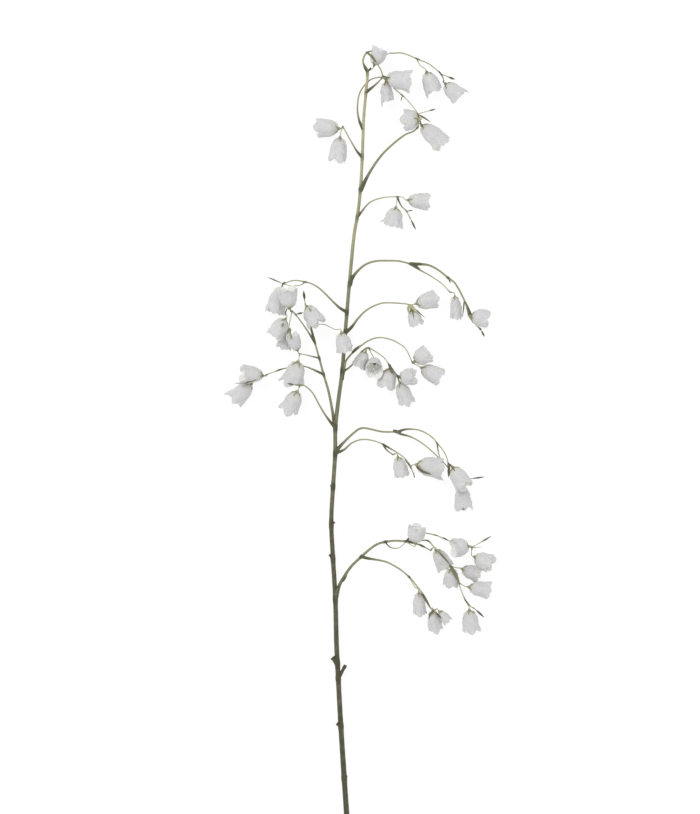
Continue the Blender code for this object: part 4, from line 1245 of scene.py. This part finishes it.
def petal_veins(tree, reach, side, mottle):
    """How strongly a vein shows: the midrib, one beside it, the seam, and the net between them."""
    swayed = do_math(tree, "ADD", side, do_math(tree, "MULTIPLY_ADD", mottle, 0.12, -0.06))
    midrib = add_ramp(tree, do_math(tree, "ABSOLUTE", swayed), [(0.0, 1.0), (0.09, 0.0)])
    beside = do_math(tree, "ABSOLUTE", do_math(tree, "SUBTRACT", swayed, 0.46))
    side_vein = add_ramp(tree, beside, [(0.0, 0.7), (0.07, 0.0)])
    seam = add_ramp(tree, swayed, [(0.93, 0.0), (1.0, 0.8)])
    spread = add_node(tree, "ShaderNodeCombineXYZ", {
        "X": do_math(tree, "MULTIPLY", swayed, 3.4),
        "Y": do_math(tree, "MULTIPLY", reach, 13.0),
        "Z": do_math(tree, "MULTIPLY", mottle, 1.6),
    })
    values = {"Vector": spread.outputs["Vector"], "Scale": 1.6}
    net = add_node(tree, "ShaderNodeTexVoronoi", values, feature="DISTANCE_TO_EDGE")
    net_vein = add_ramp(tree, net.outputs["Distance"], [(0.0, 0.3), (0.12, 0.0)])
    veins = midrib
    for more in (side_vein, seam, net_vein):
        veins = do_math(tree, "MAXIMUM", veins, more)
    return veins


def petal_finish(looks):
    """White petals with fine veins, greener at the crown, with a soft cloth-like nap; their inner faces
    are painted paler, painted light that stands in for light shining through.
    """
    finish, tree, shader, tissue = plant_finish("Petal", 2.0, 160.0)
    mottle = tissue["Mottle"]
    reach = read_field(tree, "reach")
    veins = petal_veins(tree, reach, read_field(tree, "from_midrib"), mottle)
    tint = add_ramp(tree, mottle, [(0.38, 0.0), (0.62, 1.0)])
    vein_share = do_math(tree, "MULTIPLY", veins, looks.vein_strength)
    crown = add_ramp(tree, reach, [(0.03, 1.0), (0.3, 0.0)])
    crown_share = do_math(tree, "MULTIPLY", crown, 0.6)
    # Painted light: the inner faces are mixed towards a much paler colour, in place of light shining
    # through the thin wall and to lift the shade inside the cup.
    inside_painted_light_share = do_math(tree, "MULTIPLY", read_field(tree, "inner"), 0.85)
    colour = mix_colours(tree, tint, looks.petal_colour, looks.shade_colour)
    colour = mix_colours(tree, vein_share, colour, looks.vein_colour)
    colour = mix_colours(tree, crown_share, colour, looks.crown_colour)
    feed_all(tree, shader, {
        "Base Color": mix_colours(tree, inside_painted_light_share, colour, looks.inside_painted_light_colour),
        "Roughness": do_math(tree, "MULTIPLY_ADD", mottle, 0.2, 0.62),
        "Specular IOR Level": 0.25,
        "Subsurface Weight": looks.glow,
        "Subsurface Radius": (1.0, 1.0, 1.0),
        "Subsurface Scale": 1 * MM,
        "Sheen Weight": 0.1,
        "Sheen Roughness": 0.5,
    })
    add_bump(tree, shader, do_math(tree, "MULTIPLY_ADD", mottle, 0.5, veins), 0.1 * MM, 0.3)
    return finish


def cream_finish(looks):
    """The style and anthers inside a bell."""
    finish, tree, shader, tissue = plant_finish("Style cream", 3.0, 300.0)
    tone = read_field(tree, "tone")
    colour = mix_colours(tree, tone, looks.style_colour, looks.anther_colour)
    shade = add_ramp(tree, tissue["Mottle"], [(0.3, 0.8), (0.7, 1.1)])
    colour = mix_colours(tree, 1.0, colour, shade, "MULTIPLY")
    feed_all(tree, shader, {"Base Color": colour, "Roughness": 0.7})
    add_bump(tree, shader, tissue["Relief"], 0.1 * MM, 0.5)
    return finish


def floor_finish(looks):
    """The pale surface, lit from below so that it looks white."""
    finish, tree, shader = plain_finish("Floor")
    values = {"Vector": object_place(tree), "Scale": 60.0, "Detail": 3.0}
    paper = add_node(tree, "ShaderNodeTexNoise", values).outputs["Fac"]
    feed_all(tree, shader, {
        "Base Color": (*looks.floor_colour, 1),
        "Emission Color": (1, 1, 1, 1),
        "Emission Strength": looks.floor_glow,
        "Specular IOR Level": 0.0,
        "Roughness": do_math(tree, "MULTIPLY_ADD", paper, 0.1, 0.85),
    })
    return finish


def add_object(name, data):
    """A new object in the scene."""
    item = bpy.data.objects.new(name, data)
    bpy.context.scene.collection.objects.link(item)
    return item


def finished(name, bm, finishes, node):
    """The object of a piece, which stands for its solid."""
    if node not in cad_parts:
        raise RuntimeError(f"the packed model has no node {node}")
    mesh = bpy.data.meshes.new(name)
    bm.to_mesh(mesh)
    bm.free()
    for finish in finishes:
        mesh.materials.append(finish)
    mesh.shade_smooth()
    mesh.set_sharp_from_angle(angle=SHARP_ANGLE)
    piece = add_object(name, mesh)
    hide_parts(node)
    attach(piece, "root")


def keep_above_surface(bm):
    """Flattens what would sink into the surface that the stem lies on."""
    for vertex in bm.verts:
        vertex.co.z = max(vertex.co.z, SURFACE_GAP)


def number_field(label, says, default, least, most, **kind):
    """A number that a user can change."""
    return FloatProperty(name=label, description=says, default=default, min=least, max=most, **kind)


def length_field(label, says, default, least, most, precision=4):
    """A length that a user can change, given here in millimetres."""
    values = [value * MM for value in (default, least, most)]
    return number_field(label, says, *values, unit="LENGTH", precision=precision)


def share_field(label, says, default, most=1.0):
    """A share that a user can change."""
    return number_field(label, says, default, 0.0, most, subtype="FACTOR")


def colour_field(label, says, *default):
    """A colour that a user can change."""
    return FloatVectorProperty(
        name=label, description=says, default=default, min=0, max=1, subtype="COLOR")


class CampanulaStemLooks(bpy.types.PropertyGroup):
    foot_thickness: length_field(
        "Foot thickness", "Thickness of the stem at its cut foot", 6.8, 2, 12)
    top_thickness: length_field(
        "Top thickness", "Thickness of the stem at its top fork", 3.4, 1, 8)
    arch_thickness: length_field(
        "Arch thickness", "Thickness of the arched shoot where it starts", 2.7, 1, 6)
    arch_end_thickness: length_field(
        "Arch end thickness", "Thickness of the arched shoot where it ends", 1.3, 0.5, 4)
    fork_height: length_field(
        "Top fork height", "How high the top fork's centre lies over the surface", 18, 4, 60)
    swelling: share_field(
        "Node swelling", "How much thicker the bark is where a spray leaves it", 0.16, 0.6)
    bark_pale: colour_field(
        "Pale bark", "Colour of the young bark near the top", 0.43, 0.42, 0.25)
    bark_dark: colour_field(
        "Dark bark", "Colour of the old bark near the foot and at the nodes", 0.064, 0.061, 0.028)
    pore_colour: colour_field(
        "Pores", "Colour of the small pores in the bark", 0.36, 0.33, 0.22)
    mottle_scale: number_field(
        "Mottle scale", "How fine the mottling of the bark is", 140.0, 10.0, 600.0)


class CampanulaStalkLooks(bpy.types.PropertyGroup):
    fullness: number_field(
        "Fullness", "How much fuller the stalks are than at their routes", 1.28, 0.5, 2.0)
    thread_thickness: length_field(
        "Thread thickness", "Thickness of the thread that carries a bell", 1.2, 0.3, 3, 5)
    sheath_length: length_field(
        "Sheath length", "How far the thick dark root of a stalk reaches", 15, 1, 40)
    sepal_width: length_field(
        "Sepal width", "Greatest width of a sepal", 1.35, 0.4, 5)
    stalk_pale: colour_field(
        "Pale stalk", "Colour of the threads", 0.54, 0.54, 0.33)
    stalk_dark: colour_field(
        "Dark stalk", "Colour of the sheaths, forks, sepals and buds", 0.085, 0.082, 0.04)
    pore_colour: colour_field(
        "Pores", "Colour of the small pores in the stalks", 0.40, 0.38, 0.22)
    mottle_scale: number_field(
        "Mottle scale", "How fine the mottling of the stalks is", 260.0, 10.0, 900.0)


class CampanulaBellLooks(bpy.types.PropertyGroup):
    petal_thickness: length_field(
        "Petal thickness", "Thickness of the bell's wall", 0.38, 0.1, 2, 5)
    lobe_wave: length_field(
        "Lobe wave", "How far the edges of the lobes wave in and out", 0.9, 0.0, 4)
    crumple: length_field(
        "Crumple", "How far the wall is dented at random", 1.1, 0.0, 4)
    seed: IntProperty(
        name="Seed", description="Picks the shapes of the lobes, dents and sepals",
        default=11, min=0)
    glow: share_field(
        "Glow", "How much light passes through the petals", 0.2)
    petal_colour: colour_field(
        "Petal", "Main colour of the petals", 0.60, 0.596, 0.576)
    shade_colour: colour_field(
        "Petal shade", "Colour of the cooler patches of the petals", 0.55, 0.542, 0.572)
    crown_colour: colour_field(
        "Crown", "Colour of the petals near the calyx", 0.55, 0.54, 0.43)
    # Painted light: the inside of the petals is painted paler than the outside, standing in for light
    # shining through the wall.
    inside_painted_light_colour: colour_field(
        "Inside", "Colour of the inside of the petals, where light falls through", 0.86, 0.86, 0.84)
    vein_colour: colour_field(
        "Veins", "Colour of the veins", 0.44, 0.44, 0.41)
    vein_strength: share_field(
        "Vein strength", "How strongly the veins show in the colour", 0.3)
    style_colour: colour_field(
        "Style", "Colour of the style and its stigma", 0.70, 0.69, 0.55)
    anther_colour: colour_field(
        "Anthers", "Colour of the anthers", 0.22, 0.17, 0.09)


class CampanulaStageLooks(bpy.types.PropertyGroup):
    lens: number_field(
        "Lens", "Focal length of the camera in millimetres", 135.0, 20.0, 400.0)
    picture_height: number_field(
        "Picture height", "How much of the table the picture shows, foot to top",
        1.0175, 0.1, 5.0, unit="LENGTH")
    floor_colour: colour_field(
        "Floor", "Colour of the pale surface", 0.14, 0.14, 0.14)
    floor_glow: number_field(
        "Floor glow", "How strongly the surface is lit from below", 0.88, 0.0, 3.0)
    sky_strength: number_field(
        "Surrounding light", "Strength of the even light from all round", 0.8, 0.0, 4.0)
    key_power: number_field(
        "Main light", "Power of the large soft light", 38.0, 0.0, 500.0, unit="POWER")
    fill_power: number_field(
        "Fill light", "Power of the light on the other side", 14.0, 0.0, 500.0, unit="POWER")


class CAMPANULA_OT_main_stem(bpy.types.Operator):
    """Builds the stem with its knuckles, its arched top shoot and the threads of the top bells"""

    bl_idname = "campanula.main_stem"
    bl_label = "Main stem"

    def execute(self, context):
        stem = context.scene.campanula_stem
        rng = random.Random(context.scene.campanula_bells.seed)
        bm = new_piece()
        grow_tube(bm, *stem_rows(stem), STEM_SIDES, BARK_RIBS)
        for root, end, thickness in KNUCKLES:
            grow_stub(bm, place(root), place(end), thickness * MM / 2)
        grow_spray(bm, TOP, context.scene.campanula_stalks, rng)
        bark = green_finish("Bark", stem.bark_pale, stem.bark_dark, stem, 2.2, 0.4 * MM)
        finished("fine_main_stem", bm, [bark], "main_stem")
        return {"FINISHED"}


class CAMPANULA_OT_sprays(bpy.types.Operator):
    """Builds the side sprays: stalks, threads, calyces with their sepals, bracts and buds"""

    bl_idname = "campanula.sprays"
    bl_label = "Side sprays"

    def execute(self, context):
        looks = context.scene.campanula_stalks
        green = green_finish("Stalk", looks.stalk_pale, looks.stalk_dark, looks, 2.6, 0.2 * MM)
        for name, spray in SPRAYS.items():
            rng = random.Random(f"{name} {context.scene.campanula_bells.seed}")
            bm = new_piece()
            grow_spray(bm, spray, looks, rng)
            keep_above_surface(bm)
            finished(f"fine_{name}", bm, [green], name)
        return {"FINISHED"}


class CAMPANULA_OT_bells(bpy.types.Operator):
    """Builds the white bells, each with its own lobes, dents, style and anthers"""

    bl_idname = "campanula.bells"
    bl_label = "Bells"

    def execute(self, context):
        looks = context.scene.campanula_bells
        finishes = [petal_finish(looks), cream_finish(looks)]
        for spray in [TOP, *SPRAYS.values()]:
            for name, bell in spray.bells.items():
                self.build_bell(name, bell, looks, finishes)
        return {"FINISHED"}

    def build_bell(self, name, bell, looks, finishes):
        rng = random.Random(f"{name} {looks.seed}")
        turned, length = bell_frame(bell)
        bm = new_piece()
        for field in ("reach", "from_midrib", "inner"):
            bm.verts.layers.float.new(field)
        grow_wall(bm, bell, length, bell.width * MM / 2, looks, rng)
        wall = set(bm.faces)
        grow_style(bm, length, rng)
        inner = [face for face in bm.faces if face not in wall]
        for face in inner:
            face.material_index = 1
        bmesh.ops.recalc_face_normals(bm, faces=inner)
        bmesh.ops.transform(bm, matrix=turned, verts=bm.verts)
        keep_above_surface(bm)
        finished(f"fine_{name}", bm, finishes, name)


class CAMPANULA_OT_stage(bpy.types.Operator):
    """Sets the pale floor, the soft lights and the camera that looks straight down"""

    bl_idname = "campanula.stage"
    bl_label = "Floor, lights and camera"

    def execute(self, context):
        looks = context.scene.campanula_stage
        scene = context.scene
        add_floor(looks)
        world = bpy.data.worlds.new("Studio")
        world.use_nodes = True
        background = world.node_tree.nodes["Background"]
        values = {"Color": (1, 1, 1, 1), "Strength": looks.sky_strength}
        feed_all(world.node_tree, background, values)
        scene.world = world
        add_light("main_light", (-1.5, 1.4, 2.4), 1.8, looks.key_power)
        add_light("fill_light", (1.8, -0.9, 2.2), 2.2, looks.fill_power)
        camera = bpy.data.cameras.new("camera")
        camera.lens = looks.lens
        distance = looks.picture_height * looks.lens / camera.sensor_width
        holder = add_object("camera", camera)
        holder.location = place((*PICTURE_MIDDLE, 0)) + UP * (distance + PICTURE_LEVEL)
        scene.camera = holder
        scene.view_settings.view_transform = "Standard"
        return {"FINISHED"}


def add_floor(looks):
    """A wide pale floor."""
    bm = bmesh.new()
    bmesh.ops.create_grid(bm, x_segments=1, y_segments=1, size=6)
    mesh = bpy.data.meshes.new("floor")
    bm.to_mesh(mesh)
    bm.free()
    mesh.materials.append(floor_finish(looks))
    floor = add_object("floor", mesh)


def add_light(name, spot, size, power):
    """A large soft light aimed at the middle of the stem."""
    light = bpy.data.lights.new(name, "AREA")
    light.shape = "DISK"
    light.size = size
    light.energy = power
    holder = add_object(name, light)
    holder.location = spot
    holder.rotation_euler = (-Vector(spot)).to_track_quat("-Z", "Y").to_euler()


LOOKS = {
    "campanula_stem": CampanulaStemLooks,
    "campanula_stalks": CampanulaStalkLooks,
    "campanula_bells": CampanulaBellLooks,
    "campanula_stage": CampanulaStageLooks,
}
OPERATORS = [
    CAMPANULA_OT_main_stem, CAMPANULA_OT_sprays, CAMPANULA_OT_bells, CAMPANULA_OT_stage,
]


class CAMPANULA_PT_panel(bpy.types.Panel):
    bl_idname = "CAMPANULA_PT_panel"
    bl_label = "Campanula stem"
    bl_space_type = "VIEW_3D"
    bl_region_type = "UI"
    bl_category = "Campanula"

    def draw(self, context):
        for operator, group in zip(OPERATORS, LOOKS):
            box = self.layout.box()
            looks = getattr(context.scene, group)
            for name in looks.__annotations__:
                box.prop(looks, name)
            box.operator(operator.bl_idname)


CLASSES = [*LOOKS.values(), *OPERATORS, CAMPANULA_PT_panel]


def register():
    for cls in CLASSES:
        bpy.utils.register_class(cls)
    for name, looks in LOOKS.items():
        setattr(bpy.types.Scene, name, PointerProperty(type=looks))


def unregister():
    for name in LOOKS:
        delattr(bpy.types.Scene, name)
    for cls in reversed(CLASSES):
        bpy.utils.unregister_class(cls)


def main():
    register()
    bpy.ops.campanula.main_stem()
    bpy.ops.campanula.sprays()
    bpy.ops.campanula.bells()
    bpy.ops.campanula.stage()


if __name__ == "__main__":
    main()
